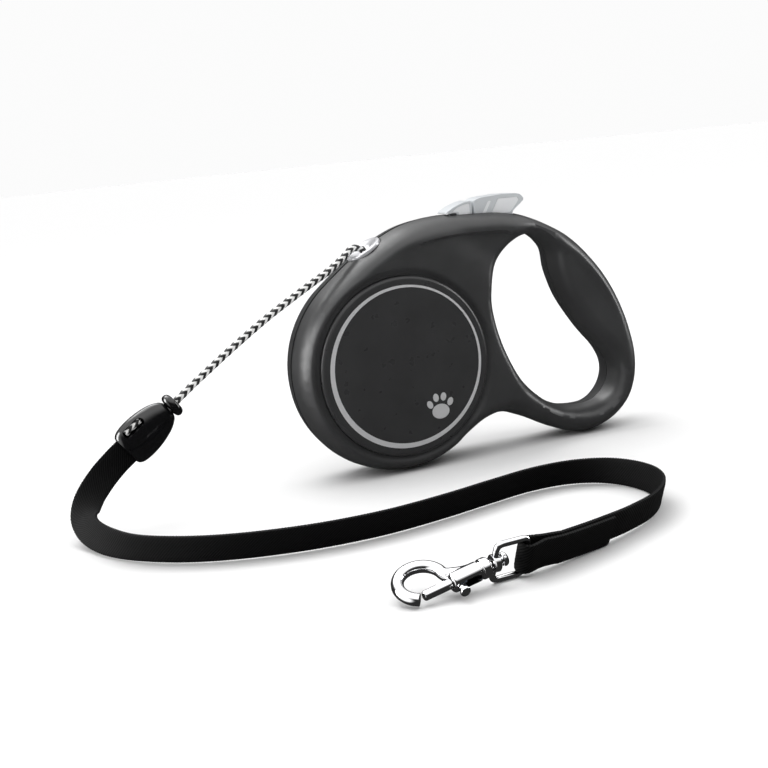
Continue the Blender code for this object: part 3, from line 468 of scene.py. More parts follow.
def rounded(outline, radius, steps=4):
    """Outline with each corner replaced by a small curve; a corner on the axis stays as it is."""
    count = len(outline)
    result = []
    for k in range(count):
        here = Vector(outline[k])
        if abs(here.x) < 1e-9:
            result.append(tuple(here))
            continue
        before = Vector(outline[k - 1]) - here
        after = Vector(outline[(k + 1) % count]) - here
        reach = min(radius, 0.45 * before.length, 0.45 * after.length)
        start = here + before.normalized() * reach
        end = here + after.normalized() * reach
        for s in range(steps + 1):
            t = s / steps
            result.append(tuple(start * (1 - t) ** 2 + here * (2 * t * (1 - t)) + end * t * t))
    return result


def lathe(name, profile, look, origin, axis, side, body=None, slot="", replaced=(), steps=96,
          flatten=1.0):
    """Turn a closed profile of (radius, height) about the axis; flatten squashes it across."""
    base, along, across, square = frame_from(origin, axis, side)
    rings = []
    points = []
    for radius, height in profile:
        if radius < 1e-6:
            rings.append([len(points)])
            points.append(base + along * height)
            continue
        rings.append(list(range(len(points), len(points) + steps)))
        for k in range(steps):
            angle = 2.0 * math.pi * k / steps
            offset = across * math.cos(angle) + square * (math.sin(angle) * flatten)
            points.append(base + along * height + offset * radius)
    faces = []
    for first, second in zip(rings, rings[1:] + rings[:1]):
        if len(first) == 1 and len(second) == 1:
            continue
        for k in range(steps):
            n = (k + 1) % steps
            if len(first) == 1:
                faces.append((first[0], second[n], second[k]))
            elif len(second) == 1:
                faces.append((first[k], first[n], second[0]))
            else:
                faces.append((first[k], first[n], second[n], second[k]))
    return add_piece(name, points, faces, look, body, replaced)


def prism(name, outline, low, high, look, origin=(0, 0, 0), axis=(0, 1, 0), side=(1, 0, 0), body=None,
          slot="", replaced=()):
    """Extrude an outline of (across, square) from low to high along the axis."""
    base, along, across, square = frame_from(origin, axis, side)
    count = len(outline)
    points = []
    for height in (low, high):
        for a, b in outline:
            points.append(base + along * height + across * a + square * b)
    faces = [tuple(range(count)), tuple(range(2 * count - 1, count - 1, -1))]
    faces += [((k + 1) % count, k, count + k, count + (k + 1) % count) for k in range(count)]
    return add_piece(name, points, faces, look, body, replaced)


def catmull(points, per_span, closed):
    """Smooth curve through the points, per_span samples in every span."""
    rows = np.array(points, dtype=float)
    count = len(rows)
    t = (np.arange(per_span) / per_span)[:, None]
    result = []
    for k in range(count if closed else count - 1):
        if closed:
            p = [rows[(k + j - 1) % count] for j in range(4)]
        else:
            p = [rows[min(max(k + j - 1, 0), count - 1)] for j in range(4)]
        b = p[2] - p[0]
        c = 2.0 * p[0] - 5.0 * p[1] + 4.0 * p[2] - p[3]
        d = -p[0] + 3.0 * p[1] - 3.0 * p[2] + p[3]
        result.append(0.5 * (2.0 * p[1] + b * t + c * t ** 2 + d * t ** 3))
    if not closed:
        result.append(rows[-1:])
    return np.vstack(result)


def even_spacing(curve, count, closed):
    """Points at equal spacing along the curve."""
    rows = np.vstack([curve, curve[:1]]) if closed else curve
    steps = np.linalg.norm(np.diff(rows[:, :3], axis=0), axis=1)
    along = np.concatenate([[0.0], np.cumsum(steps)])
    places = np.linspace(0.0, along[-1], count + 1)[:-1] if closed else np.linspace(0.0, along[-1], count)
    return np.stack([np.interp(places, along, rows[:, k]) for k in range(rows.shape[1])], axis=1)


def route_length(route):
    return float(np.linalg.norm(np.diff(route, axis=0), axis=1).sum())


def unit(rows):
    return rows / np.linalg.norm(rows, axis=1)[:, None]


def sides_of(route):
    """Two directions square to the route at each place, without twist."""
    tangent = unit(np.gradient(route, axis=0))
    side = np.cross(tangent[0], (0.0, 1.0, 0.0))
    first = []
    for direction in tangent:
        side = side - direction * side.dot(direction)
        side = side / np.linalg.norm(side)
        first.append(side)
    first = np.array(first)
    return first, np.cross(tangent, first)


def tube(name, route, radii, look, body=None, replaced=(), around=20):
    """Round rod along a route, with flat ends and a radius for each place."""
    first, second = sides_of(route)
    angles = 2.0 * math.pi * np.arange(around) / around
    points = []
    for place, radius, a, b in zip(route, radii, first, second):
        points += [place + (a * math.cos(t) + b * math.sin(t)) * radius for t in angles]
    faces = ring_faces(len(route), around)
    return add_piece(name, points, faces, look, body, replaced)


def ring_faces(count, around):
    faces = [tuple(range(around)), tuple(range(count * around - 1, (count - 1) * around - 1, -1))]
    for k in range(count - 1):
        for j in range(around):
            n = (j + 1) % around
            faces.append((k * around + j, k * around + n, (k + 1) * around + n, (k + 1) * around + j))
    return faces


# ---- casing halves

def outer_curve():
    points = list(OUTER_POINTS)
    arc_steps = 18
    for k in range(arc_steps + 1):
        angle = math.radians(DRUM_ARC_START + (DRUM_ARC_END - DRUM_ARC_START) * k / arc_steps)
        points.append((DRUM_X + DRUM_RADIUS * math.cos(angle), DRUM_Z + DRUM_RADIUS * math.sin(angle)))
    return catmull(points, 12, True)


OUTER = outer_curve()
HOLE = catmull(HOLE_POINTS, 16, True)
OUTER_STATIONS = 400
HOLE_STATIONS = 230
EDGE_STEPS = (0.06, 0.25, 0.55, 0.95, 1.5, 2.15, 2.9, 3.7, 4.6, 5.6, 6.6, 7.6, 8.7)
GRID_SPACING = 1.5
INNER_GRID_SPACING = 6.0
GRID_TOP = 104.0
GRID_REACH = 80.0

# The disc's seat: a small step, then a slope of the drum's face out to its full height.
SEAT_STATIONS = 200
SEAT_STEP_HALF = 0.05
SLOPE_RADII = (37.5, 37.9, 38.4, 38.9, 39.4, 39.9, 40.4, 41.0)
SLOPE_END = 40.6
SLOPE_WIDTH = 2.8
SLOPE_DROP = 1.5

# Radii from the drum's centre between which the thicker drum blends into the web.
DRUM_BLEND_END = 62.0
DRUM_BLEND_WIDTH = 14.0
CAVITY_BLEND_END = 56.0
CAVITY_BLEND_WIDTH = 10.0
CAVITY_ROUND = 3.2


def distance_to(places, curve):
    """Shortest distance from each place to the closed curve."""
    span = np.roll(curve, -1, axis=0) - curve
    length2 = (span ** 2).sum(axis=1)
    best = np.full(len(places), 1e9)
    for k in range(len(curve)):
        offset = places - curve[k]
        t = np.clip(offset @ span[k] / length2[k], 0.0, 1.0)
        gap = offset - t[:, None] * span[k]
        best = np.minimum(best, np.hypot(gap[:, 0], gap[:, 1]))
    return best


def inside(places, curve):
    """True where a place lies inside the closed curve."""
    result = np.zeros(len(places), dtype=bool)
    for a, b in zip(curve, np.roll(curve, -1, axis=0)):
        if a[1] == b[1]:
            continue
        crosses = (a[1] > places[:, 1]) != (b[1] > places[:, 1])
        x = a[0] + (places[:, 1] - a[1]) * (b[0] - a[0]) / (b[1] - a[1])
        result ^= crosses & (places[:, 0] < x)
    return result


def offset_curve(curve, distance):
    """Closed curve moved to its inner side, or to its outer side for a distance below zero."""
    tangent = unit(np.roll(curve, -1, axis=0) - np.roll(curve, 1, axis=0))
    normal = np.stack([-tangent[:, 1], tangent[:, 0]], axis=1)
    area = np.sum(curve[:, 0] * np.roll(curve[:, 1], -1) - curve[:, 1] * np.roll(curve[:, 0], -1))
    return curve + normal * math.copysign(distance, area * distance)


def smooth(value):
    t = np.clip(value, 0.0, 1.0)
    return t * t * (3.0 - 2.0 * t)


def shoulder(distance, radius):
    """Rounded edge: 0 at the edge, 1 from the radius inwards."""
    t = np.clip(distance / radius, 0.0, 1.0)
    return np.sqrt(1.0 - (1.0 - t) ** 2)


CREASE_DEPTH = 1.6
SLOT_HALF = 4.7


def crease(places, to_outer):
    """Depth of the web below the rounded band that runs along the spine and down the grip."""
    x, z = places[:, 0], places[:, 1]
    band = 8.0 - 3.0 * smooth((x - 12.0) / 45.0)
    edge_width = 0.8 + 2.6 * smooth((x - 10.0) / 30.0)
    step = smooth((to_outer - band) / edge_width)
    fade = smooth((x + 36.0) / 22.0) * smooth((z - 34.0) / 34.0)
    return CREASE_DEPTH * step * fade


def outer_height(places, to_outer, to_hole):
    """Half thickness of the casing's outside over the (x, z) places."""
    r = np.hypot(places[:, 0] - DRUM_X, places[:, 1] - DRUM_Z)
    drum = smooth((DRUM_BLEND_END - r) / DRUM_BLEND_WIDTH)
    full = WEB_HALF + (DRUM_HALF - WEB_HALF) * drum
    edge = GRIP_ROUND + (DRUM_ROUND - GRIP_ROUND) * drum
    full = full - crease(places, to_outer)
    rise = shoulder(to_outer, edge) * shoulder(to_hole, HOLE_ROUND)
    height = GROOVE_HALF + (full - GROOVE_HALF) * rise
    height = height - SLOPE_DROP * smooth((SLOPE_END - r) / SLOPE_WIDTH)
    return np.where(r < SEAT_RADIUS, DISC_SEAT, height)


def inner_height(places, to_outer, to_hole):
    """Half thickness of the hollow inside the casing."""
    r = np.hypot(places[:, 0] - DRUM_X, places[:, 1] - DRUM_Z)
    drum = smooth((CAVITY_BLEND_END - r) / CAVITY_BLEND_WIDTH)
    full = WEB_CAVITY_HALF + (CAVITY_HALF - WEB_CAVITY_HALF) * drum
    outer_rise = shoulder(to_outer - WALL, CAVITY_ROUND)
    return SEAM_HALF + (full - SEAM_HALF) * outer_rise * shoulder(to_hole - WALL, CAVITY_ROUND)


def circle(radius, count):
    angles = 2.0 * math.pi * np.arange(count) / count
    return np.stack([DRUM_X + radius * np.cos(angles), DRUM_Z + radius * np.sin(angles)], axis=1)


def thinned(kept, group, room):
    """Places of the group that stay at least room away from the kept ones and each other."""
    cells = {}
    for x, z in kept:
        cells.setdefault((int(x // room), int(z // room)), []).append((x, z))
    result = []
    for x, z in group:
        i, j = int(x // room), int(z // room)
        near = [p for a in (i - 1, i, i + 1) for b in (j - 1, j, j + 1) for p in cells.get((a, b), ())]
        if all((x - p[0]) ** 2 + (z - p[1]) ** 2 > room * room for p in near):
            cells.setdefault((i, j), []).append((x, z))
            result.append((x, z))
    return result


def fill(outer_loop, hole_loop, loops, scatter):
    """Triangles over the region between two loops, keeping every further loop's edges."""
    edges = []
    start = 0
    fixed = [outer_loop, hole_loop] + loops
    for loop in fixed:
        edges += [(start + k, start + (k + 1) % len(loop)) for k in range(len(loop))]
        start += len(loop)
    kept = np.vstack(fixed)
    for group, room in scatter:
        good = inside(group, outer_loop) & ~inside(group, hole_loop)
        more = thinned(kept, group[good], room)
        if more:
            kept = np.vstack([kept, more])
    made = delaunay_2d_cdt([Vector((p[0], p[1])) for p in kept], edges, [], 0, 1e-5)
    places = np.array([(v[0], v[1]) for v in made[0]])
    order = np.array([ids[0] for ids in made[3]])
    faces = np.array(list(made[2]))
    centres = places[faces].mean(axis=1)
    good = inside(centres, outer_loop) & ~inside(centres, hole_loop)
    return kept, order[faces[good]]


def grid(spacing):
    """Places over the casing in rows, every other row shifted by half a step."""
    rows = np.arange(0.0, GRID_TOP, spacing * 0.87)
    columns = np.arange(-GRID_REACH, GRID_REACH, spacing)
    places = []
    for k, z in enumerate(rows):
        shift = 0.5 * spacing if k % 2 else 0.0
        places += [(x + shift, z) for x in columns]
    return np.array(places)


def bridge(first, second):
    """Faces between two closed rows of point numbers."""
    count = len(first)
    return [(first[k], first[(k + 1) % count], second[(k + 1) % count], second[k]) for k in range(count)]


def casing_half(name, sign, node):
    """One hollow half of the casing; sign is -1 for the half facing the front."""
    outer_loop = even_spacing(OUTER, OUTER_STATIONS, True)
    hole_loop = even_spacing(HOLE, HOLE_STATIONS, True)
    seat = [circle(SEAT_RADIUS - SEAT_STEP_HALF, SEAT_STATIONS),
            circle(SEAT_RADIUS + SEAT_STEP_HALF, SEAT_STATIONS)]
    scatter = [(circle(radius, SEAT_STATIONS), 0.35) for radius in SLOPE_RADII]
    for step in EDGE_STEPS:
        room = min(0.18 + 0.3 * step, 0.9)
        scatter += [(offset_curve(outer_loop, step), room), (offset_curve(hole_loop, -step), room)]
    body = grid(GRID_SPACING)
    body = body[np.hypot(body[:, 0] - DRUM_X, body[:, 1] - DRUM_Z) > SLOPE_RADII[-1]]
    scatter.append((body, 0.8))
    top, top_faces = fill(outer_loop, hole_loop, seat, scatter)
    to_outer = distance_to(top, OUTER)
    to_hole = distance_to(top, HOLE)
    hole_start = OUTER_STATIONS
    rim_end = OUTER_STATIONS + HOLE_STATIONS
    to_outer[:hole_start] = 0.0
    to_hole[hole_start:rim_end] = 0.0
    top_y = outer_height(top, to_outer, to_hole)
    top_y[hole_start:rim_end] = SEAM_HALF
    points = [(p[0], sign * y, p[1]) for p, y in zip(top, top_y)]
    faces = [tuple(f) for f in top_faces]

    inner_scatter = [(offset_curve(outer_loop, WALL + 1.2), 0.8),
                     (offset_curve(hole_loop, -WALL - 1.2), 0.8), (grid(INNER_GRID_SPACING), 2.5)]
    low, low_faces = fill(offset_curve(outer_loop, WALL), offset_curve(hole_loop, -WALL), [],
                          inner_scatter)
    low_y = inner_height(low, distance_to(low, OUTER), distance_to(low, HOLE))
    low_y[:rim_end] = SEAM_HALF
    base = len(points)
    points += [(p[0], sign * y, p[1]) for p, y in zip(low, low_y)]
    faces += [tuple(int(k) + base for k in f) for f in low_faces]

    groove = offset_curve(outer_loop, GROOVE_DEPTH)
    rim = list(range(OUTER_STATIONS))
    for level in (GROOVE_HALF, SEAM_HALF):
        new_rim = list(range(len(points), len(points) + OUTER_STATIONS))
        points += [(p[0], sign * level, p[1]) for p in groove]
        faces += bridge(rim, new_rim)
        rim = new_rim
    faces += bridge(rim, list(range(base, base + OUTER_STATIONS)))
    faces += bridge(list(range(hole_start, rim_end)), list(range(base + hole_start, base + rim_end)))
    made = add_piece(name, points, faces, CASING, None)

    slot = rounded([(-5.4, -110.0), (26.2, -110.0), (26.2, -93.0), (-5.4, -93.0)], 1.0)
    cut(made, prism("button_slot", slot, -SLOT_HALF, SLOT_HALF, CASING))
    seat_outline = [(0.0, 6.0), (8.1, 6.0), (8.1, -1.2), (4.9, -1.2), (4.9, -8.0), (0.0, -8.0)]
    cut(made, lathe("eyelet_seat", seat_outline, CASING, EYELET_AT, EYELET_OUT, (0, 1, 0)))
    if sign > 0.0:
        bore = [(0.0, 20.0), (3.0, 20.0), (3.0, 9.0), (1.5, 9.0), (1.5, -1.0), (0.0, -1.0)]
        for x, z in SCREWS:
            cut(made, lathe("screw_bore", bore, CASING, (x, 0.0, z), (0, 1, 0), (1, 0, 0), steps=40))
    settle(made, "casing", (node,))


EYELET_OUT = (-math.sin(EYELET_TILT), 0.0, math.cos(EYELET_TILT))
casing_half("front_casing", -1.0, "front_shell")
casing_half("rear_casing", 1.0, "rear_shell")

funnel = [(2.5, -5.6), (2.5, -2.9), (2.9, -1.7), (3.8, -0.6), (5.0, 0.2), (6.2, 0.7), (7.1, 0.75),
          (7.7, 0.35), (7.8, -0.3), (7.8, -0.9), (4.6, -0.9), (4.6, -5.6)]
lathe("eyelet_bush", rounded(funnel, 0.5), BRIGHT, EYELET_AT, EYELET_OUT, (0, 1, 0), "casing", "chrome",
      ("cord_eyelet",))


# ---- discs, rings and emblem

def ring_band(name, sign, body, node):
    """Flat silver band let into the disc, narrow at the upper right and wide at the lower left."""
    count = 160
    low, high = DISC_FACE + FOIL_BACK, DISC_FACE + RING_PROUD
    points = []
    for level in (low, high):
        for radius, shift in ((RING_RADIUS, 0.0), (RING_INNER, RING_SHIFT)):
            for k in range(count):
                angle = 2.0 * math.pi * k / count
                points.append((DRUM_X + shift + radius * math.cos(angle), sign * level,
                               DRUM_Z + shift + radius * math.sin(angle)))
    rings = [list(range(count * k, count * (k + 1))) for k in range(4)]
    faces = []
    for first, second in ((0, 1), (1, 3), (3, 2), (2, 0)):
        faces += bridge(rings[first], rings[second])
    add_piece(name, points, faces, SILVER, body, (node,))


PAW_X = -22.0
PAW_Z = 24.0
PAD_STEPS = 28
TOES = ((-4.6, 3.4, 0.45), (-1.7, 5.9, 0.12), (1.7, 5.9, -0.12), (4.6, 3.4, -0.45))


def blob(cx, cz, wide, tall, lean):
    """Oval pad of the emblem, as an outline."""
    result = []
    for k in range(PAD_STEPS):
        angle = 2.0 * math.pi * k / PAD_STEPS
        a, b = wide * math.cos(angle), tall * math.sin(angle)
        x = cx + a * math.cos(lean) - b * math.sin(lean)
        z = cz + a * math.sin(lean) + b * math.cos(lean)
        result.append((x, z))
    return result


def paw_emblem(sign, label):
    """Plain paw print of one large pad and four toes, foiled on the disc."""
    pads = [blob(PAW_X, PAW_Z, 3.9, 3.1, 0.0)]
    for across, up, lean in TOES:
        pads.append(blob(PAW_X + across, PAW_Z + up, 1.25, 1.75, lean))
    for number, outline in enumerate(pads):
        flipped = [(a, -b) for a, b in outline]
        near, far = sorted((sign * (DISC_FACE + FOIL_BACK), sign * (DISC_FACE + RING_PROUD)))
        prism("%s_paw_pad_%d" % (label, number + 1), flipped, near, far, SILVER, body="casing",
              slot="silver_trim")


disc_outline = [(0.0, DISC_SEAT + 0.3), (DISC_RADIUS, DISC_SEAT + 0.3), (DISC_RADIUS, DISC_FACE - 0.9),
                (DISC_RADIUS - 1.1, DISC_FACE - 0.05), (DISC_RADIUS - 2.0, DISC_FACE), (0.0, DISC_FACE)]
for label, sign in (("front", -1.0), ("rear", 1.0)):
    lathe(label + "_disc", rounded(disc_outline, 0.6), DISC, (DRUM_X, 0.0, DRUM_Z), (0.0, sign, 0.0),
          (1, 0, 0), "casing", "gloss_black", (label + "_cover_disc",), steps=160)
    ring_band(label + "_silver_band", sign, "casing", label + "_trim_ring")
    paw_emblem(sign, label)


# ---- buttons

KEY_HALF = 4.3
PANEL_FLOOR = 3.85
PANEL_FACE = 4.18
PANEL_SCALE = 0.985


def key(name, outline, body, node, panels):
    """Moulded key with softened edges and pale panels let into both sides."""
    made = prism(name, [(a, -b) for a, b in rounded(outline, 1.1)], -KEY_HALF, KEY_HALF, GREY)
    for number, panel in enumerate(panels):
        shape = [(a, -b) for a, b in rounded(panel, 0.5)]
        middle = np.mean(shape, axis=0)
        inlay = [tuple(middle + (np.array(p) - middle) * PANEL_SCALE) for p in shape]
        for sign, side in ((-1.0, "front"), (1.0, "rear")):
            near, far = sorted((sign * PANEL_FLOOR, sign * (KEY_HALF + 1.0)))
            cut(made, prism("recess", shape, near, far, GREY))
            near, far = sorted((sign * (PANEL_FLOOR + 0.01), sign * PANEL_FACE))
            prism("%s_%s_panel_%d" % (name, side, number + 1), inlay, near, far, PALE, body=body,
                  slot="button_grey")
    soften = made.modifiers.new("soften", "BEVEL")
    soften.width = 0.3 * MM
    soften.segments = 3
    soften.limit_method = "ANGLE"
    soften.angle_limit = math.radians(30.0)
    soften.harden_normals = True
    shade(made, 40.0)
    settle(made, body, (node,))


key("brake_key", [(6.3, 95.4), (24.2, 95.4), (24.2, 100.6), (29.6, 104.6), (29.9, 105.6), (28.6, 107.2),
                  (26.5, 107.9), (19.5, 108.3), (9.4, 107.9), (6.3, 107.0)], "brake", "brake_button",
    [[(9.4, 100.4), (11.0, 100.4), (14.6, 106.2), (13.1, 106.1)],
     [(14.0, 100.4), (23.2, 100.4), (27.6, 105.0), (27.0, 106.4), (17.8, 106.6)]])
key("lock_key", [(-1.6, 99.0), (5.2, 99.0), (5.2, 107.2), (1.6, 106.8), (-2.6, 105.5), (-6.0, 103.8),
                 (-6.8, 102.9), (-1.6, 102.9)], "lock", "lock_slider",
    [[(-3.6, 103.5), (-0.8, 103.3), (-0.8, 100.0), (4.3, 100.0), (4.3, 106.2), (1.5, 105.8), (-1.6, 104.9)]])


# ---- lead cord and connector

BRAID_COLUMNS = 6
BRAID_LAY = 3.4
BRAID_RELIEF = 0.18
WHITE_SHARE = 0.45
BRAID_AROUND = 48
BRAID_ROW = 0.16


def braided(name, route, diameter, body, replaced):
    """Braided cord: columns of slanting yarns that meet in chevrons, white and black by turns."""
    length = route_length(route)
    rows = even_spacing(route, int(length / BRAID_ROW) + 2, False)
    first, second = sides_of(rows)
    spacing = length / (len(rows) - 1)
    points, tones = [], []
    for k, place in enumerate(rows):
        for j in range(BRAID_AROUND):
            turn = j / BRAID_AROUND
            column = turn * BRAID_COLUMNS
            part = column - math.floor(column)
            lean = part if int(column) % 2 else 1.0 - part
            yarn = 2.0 * (k * spacing / BRAID_LAY + 0.5 * lean)
            crown = math.sin(math.pi * (yarn - math.floor(yarn))) * math.sin(math.pi * part) ** 0.5
            angle = 2.0 * math.pi * turn
            radius = 0.5 * diameter - BRAID_RELIEF * (1.0 - crown)
            points.append(place + (first[k] * math.cos(angle) + second[k] * math.sin(angle)) * radius)
            tones.append(1.0 if 0.5 * yarn % 1.0 < WHITE_SHARE else 0.0)
    faces = ring_faces(len(rows), BRAID_AROUND)
    made = add_piece(name, points, faces, BRAID, body, replaced, sharp=180.0)
    tone = made.data.attributes.new("tone", "FLOAT", "POINT")
    tone.data.foreach_set("value", tones)
    return made


CONNECTOR_OUT = Vector((-math.cos(CONNECTOR_PITCH), 0.0, -math.sin(CONNECTOR_PITCH)))
CONNECTOR_SIDE = Vector((-math.sin(CONNECTOR_PITCH), 0.0, math.cos(CONNECTOR_PITCH)))
connector = (CONNECTOR_AT, CONNECTOR_OUT, CONNECTOR_SIDE)

lead_line = even_spacing(catmull(LEAD_ROUTE, 8, False), 160, False)
lead = braided("lead_braid", lead_line, CORD_DIAMETER, "casing", ("lead_cord",))

bead = [(1.9, -1.9), (2.5, -2.1), (3.4, -2.1), (4.3, -1.7), (4.85, -0.9), (5.0, -0.1), (4.8, 0.7),
        (4.2, 1.3), (3.2, 1.6), (2.5, 1.7), (1.9, 1.7)]
collar = lathe("connector_bead", rounded(bead, 0.5), GLOSS, *connector, "casing", "gloss_black",
               ("connector_collar",), flatten=0.86)

CAP_NEAR = 1.75
CAP_FAR = 24.45
side_line = catmull([(2.5, CAP_NEAR), (3.6, 2.1), (4.9, 3.3), (6.6, 6.4), (7.8, 10.8), (8.4, 15.6),
                     (8.35, 19.6), (7.8, 22.4), (6.7, 24.0), (5.4, CAP_FAR)], 6, False)
cap_profile = [(0.0, CAP_NEAR)] + [tuple(p) for p in side_line] + [(0.0, CAP_FAR)]
cap = lathe("connector_shell", cap_profile, GLOSS, *connector, flatten=CAP_FLATNESS)
bore = lathe("cap_bore", [(0.0, 0.0), (1.9, 0.0), (1.9, 11.0), (0.0, 11.0)], GLOSS, *connector, steps=48)
cut(cap, bore)
slot_outline = rounded([(-6.1, -1.1), (6.1, -1.1), (6.1, 1.1), (-6.1, 1.1)], 0.5)
cut(cap, prism("cap_slot", slot_outline, 17.0, 26.0, GLOSS, *connector))
cap_window = rounded([(12.2, 3.7), (14.0, 3.85), (20.6, 3.95), (21.2, 5.5), (20.6, 7.1), (14.0, 7.1),
                      (12.2, 6.8), (11.3, 5.3)], 0.7)
window_block = prism("cap_window", cap_window, -6.0, WINDOW_FLOOR, GLOSS, CONNECTOR_AT, (0, 1, 0),
                     CONNECTOR_OUT)
cut(cap, window_block)
settle(cap, "casing", ("connector_cap",))

tail_line = []
for along, across in ((12.7, 5.3), (14.4, 5.45), (16.4, 5.55), (18.4, 5.55), (20.1, 5.55)):
    tail_line.append(Vector(CONNECTOR_AT) + CONNECTOR_OUT * along + CONNECTOR_SIDE * across
                     + Vector((0.0, TAIL_SETBACK, 0.0)))
tail = braided("window_braid", catmull(tail_line, 6, False), TAIL_DIAMETER, "casing",
               ("cord_tail",))


# ---- strap

eye_at = Vector(EYE_AT)
eye_along = Vector((math.cos(EYE_YAW), math.sin(EYE_YAW), 0.0))
eye_up = Vector((0.0, -math.sin(STRAP_LEAN), math.cos(STRAP_LEAN)))
eye_up = (eye_up - eye_along * eye_up.dot(eye_along)).normalized()
eye_face = eye_along.cross(eye_up)
hook_axis = (eye_along * math.cos(HOOK_DROOP) - Vector((0, 0, 1)) * math.sin(HOOK_DROOP)).normalized()
hook_level = -Vector((0, 0, 1)).cross(hook_axis).normalized()
hook_upright = -hook_axis.cross(hook_level)
hook_side = hook_level * math.cos(HOOK_ROLL) + hook_upright * math.sin(HOOK_ROLL)
bar_at = eye_at - eye_along * BAR_OFFSET
FOLD_LAYER = STRAP_THICKNESS + 0.45
WRAP_RADIUS = 2.3
WRAP_STEPS = 6
STRAP_STATIONS = 760
ACROSS_STEPS = 18
WEFT_PITCH = 1.1
WEFT_RIPPLE = 0.07
WARP_RIPPLE = 0.03
SELVEDGE_THINNING = 0.55


def strap_path():
    """Centreline and edge directions of the strap, with its fold round the eye's bar."""
    lower = (0.0, math.sin(STRAP_LEAN), -math.cos(STRAP_LEAN))
    edges = STRAP_EDGE + [lower] * (len(STRAP_ROUTE) - len(STRAP_EDGE))
    guide = catmull(np.hstack([np.array(STRAP_ROUTE), np.array(edges)]), 24, False)
    main = even_spacing(guide, STRAP_STATIONS, False)
    lead_in = ((6.0, 1.2), (3.0, 1.8), (1.2, 2.2))
    wrap = [bar_at - eye_along * back + eye_face * away for back, away in lead_in]
    for k in range(WRAP_STEPS + 1):
        angle = math.pi * k / WRAP_STEPS
        wrap.append(bar_at + eye_along * (WRAP_RADIUS * math.sin(angle))
                    + eye_face * (WRAP_RADIUS * math.cos(angle)))
    wrap += [bar_at - eye_along * back - eye_face * away for back, away in reversed(lead_in)]
    fold = []
    travelled = lead_in[0][0]
    index = len(main) - 1
    while travelled < STRAP_FOLD_LENGTH:
        tangent = Vector(main[index][:3]) - Vector(main[index - 1][:3])
        face = Vector(main[index][3:]).cross(tangent).normalized()
        if face.dot(eye_face) < 0.0:
            face = -face
        fold.append(list(Vector(main[index][:3]) - face * FOLD_LAYER) + list(main[index][3:]))
        travelled += tangent.length
        index -= 1
    wrap_rows = np.array([list(p) + list(-eye_up) for p in wrap])
    turn = catmull(np.vstack([main[-1:], wrap_rows, np.array(fold[:1])]), 4, False)
    rows = np.vstack([main[:-1], turn[:-1], np.array(fold)])
    return rows[:, :3], rows[:, 3:], len(main)


def webbing_band(name, route, edges):
    """Woven band with rounded selvedges and a fine ripple of weft along both of them."""
    tangent = unit(np.gradient(route, axis=0))
    edges = unit(edges - (edges * tangent).sum(axis=1)[:, None] * tangent)
    face = np.cross(tangent, edges)
    steps = np.linalg.norm(np.diff(route, axis=0), axis=1)
    travelled = np.concatenate([[0.0], np.cumsum(steps)])
    section = []
    for side in (1.0, -1.0):
        for j in range(ACROSS_STEPS):
            share = -1.0 + 2.0 * (j + 0.5) / ACROSS_STEPS
            section.append((share * side, side))
    points = []
    for k, place in enumerate(route):
        weft = WEFT_RIPPLE * math.sin(2.0 * math.pi * travelled[k] / WEFT_PITCH)
        for share, side in section:
            half = 0.5 * STRAP_THICKNESS * (1.0 - SELVEDGE_THINNING * abs(share) ** 8)
            phase = travelled[k] / WEFT_PITCH + 3.0 * abs(share)
            warp = WARP_RIPPLE * math.sin(2.0 * math.pi * phase)
            points.append(place + edges[k] * (share * (0.5 * STRAP_WIDTH + weft))
                          + face[k] * (side * (half + warp)))
    around = len(section)
    faces = ring_faces(len(route), around)
    made = add_piece(name, points, faces, WEBBING, "casing", ("strap",), sharp=60.0)
    layer = made.data.uv_layers.new(name="UVMap")
    for loop in made.data.loops:
        row, column = divmod(loop.vertex_index, around)
        layer.data[loop.index].uv = (travelled[row], section[column][0] * 0.5 * STRAP_WIDTH)
    return made


strap_line, strap_edges, strap_main = strap_path()
strap = webbing_band("webbing_strap", strap_line, strap_edges)


STITCH_PLACES = (38, 47)
STITCHES = 6
STITCH_PITCH = 1.68
STITCH_HALF = 0.55
STITCH_RADIUS = 0.17
STITCH_LIFT = 0.12


def stitch_rows():
    """Two rows of thread across the fold, each stitch a short rod on the strap's outer face."""
    number = 0
    for rows_back in STITCH_PLACES:
        index = strap_main - 1 - rows_back
        place, edge = Vector(strap_line[index]), Vector(strap_edges[index]).normalized()
        tangent = (place - Vector(strap_line[index - 1])).normalized()
        outward = edge.cross(tangent).normalized()
        if outward.dot(eye_face) < 0.0:
            outward = -outward
        surface_at = place + outward * (0.5 * STRAP_THICKNESS + STITCH_LIFT)
        for j in range(STITCHES):
            number += 1
            middle = surface_at + edge * (STITCH_PITCH * (j - 0.5 * (STITCHES - 1)))
            rod = np.array([middle + edge * (STITCH_HALF * t) for t in (-1.0, -0.5, 0.0, 0.5, 1.0)])
            tube("strap_stitch_%d" % number, rod, [STITCH_RADIUS] * len(rod), THREAD, "casing",
                 around=8)


stitch_rows()


# ---- swivel eye and bolt snap

def hook_point(u, v):
    return eye_at + hook_axis * u + hook_side * v


EYE_FRONT = 0.2
EYE_WIRE = 1.05
WIRE_STEPS = 16
SWEEP_STEPS = 16


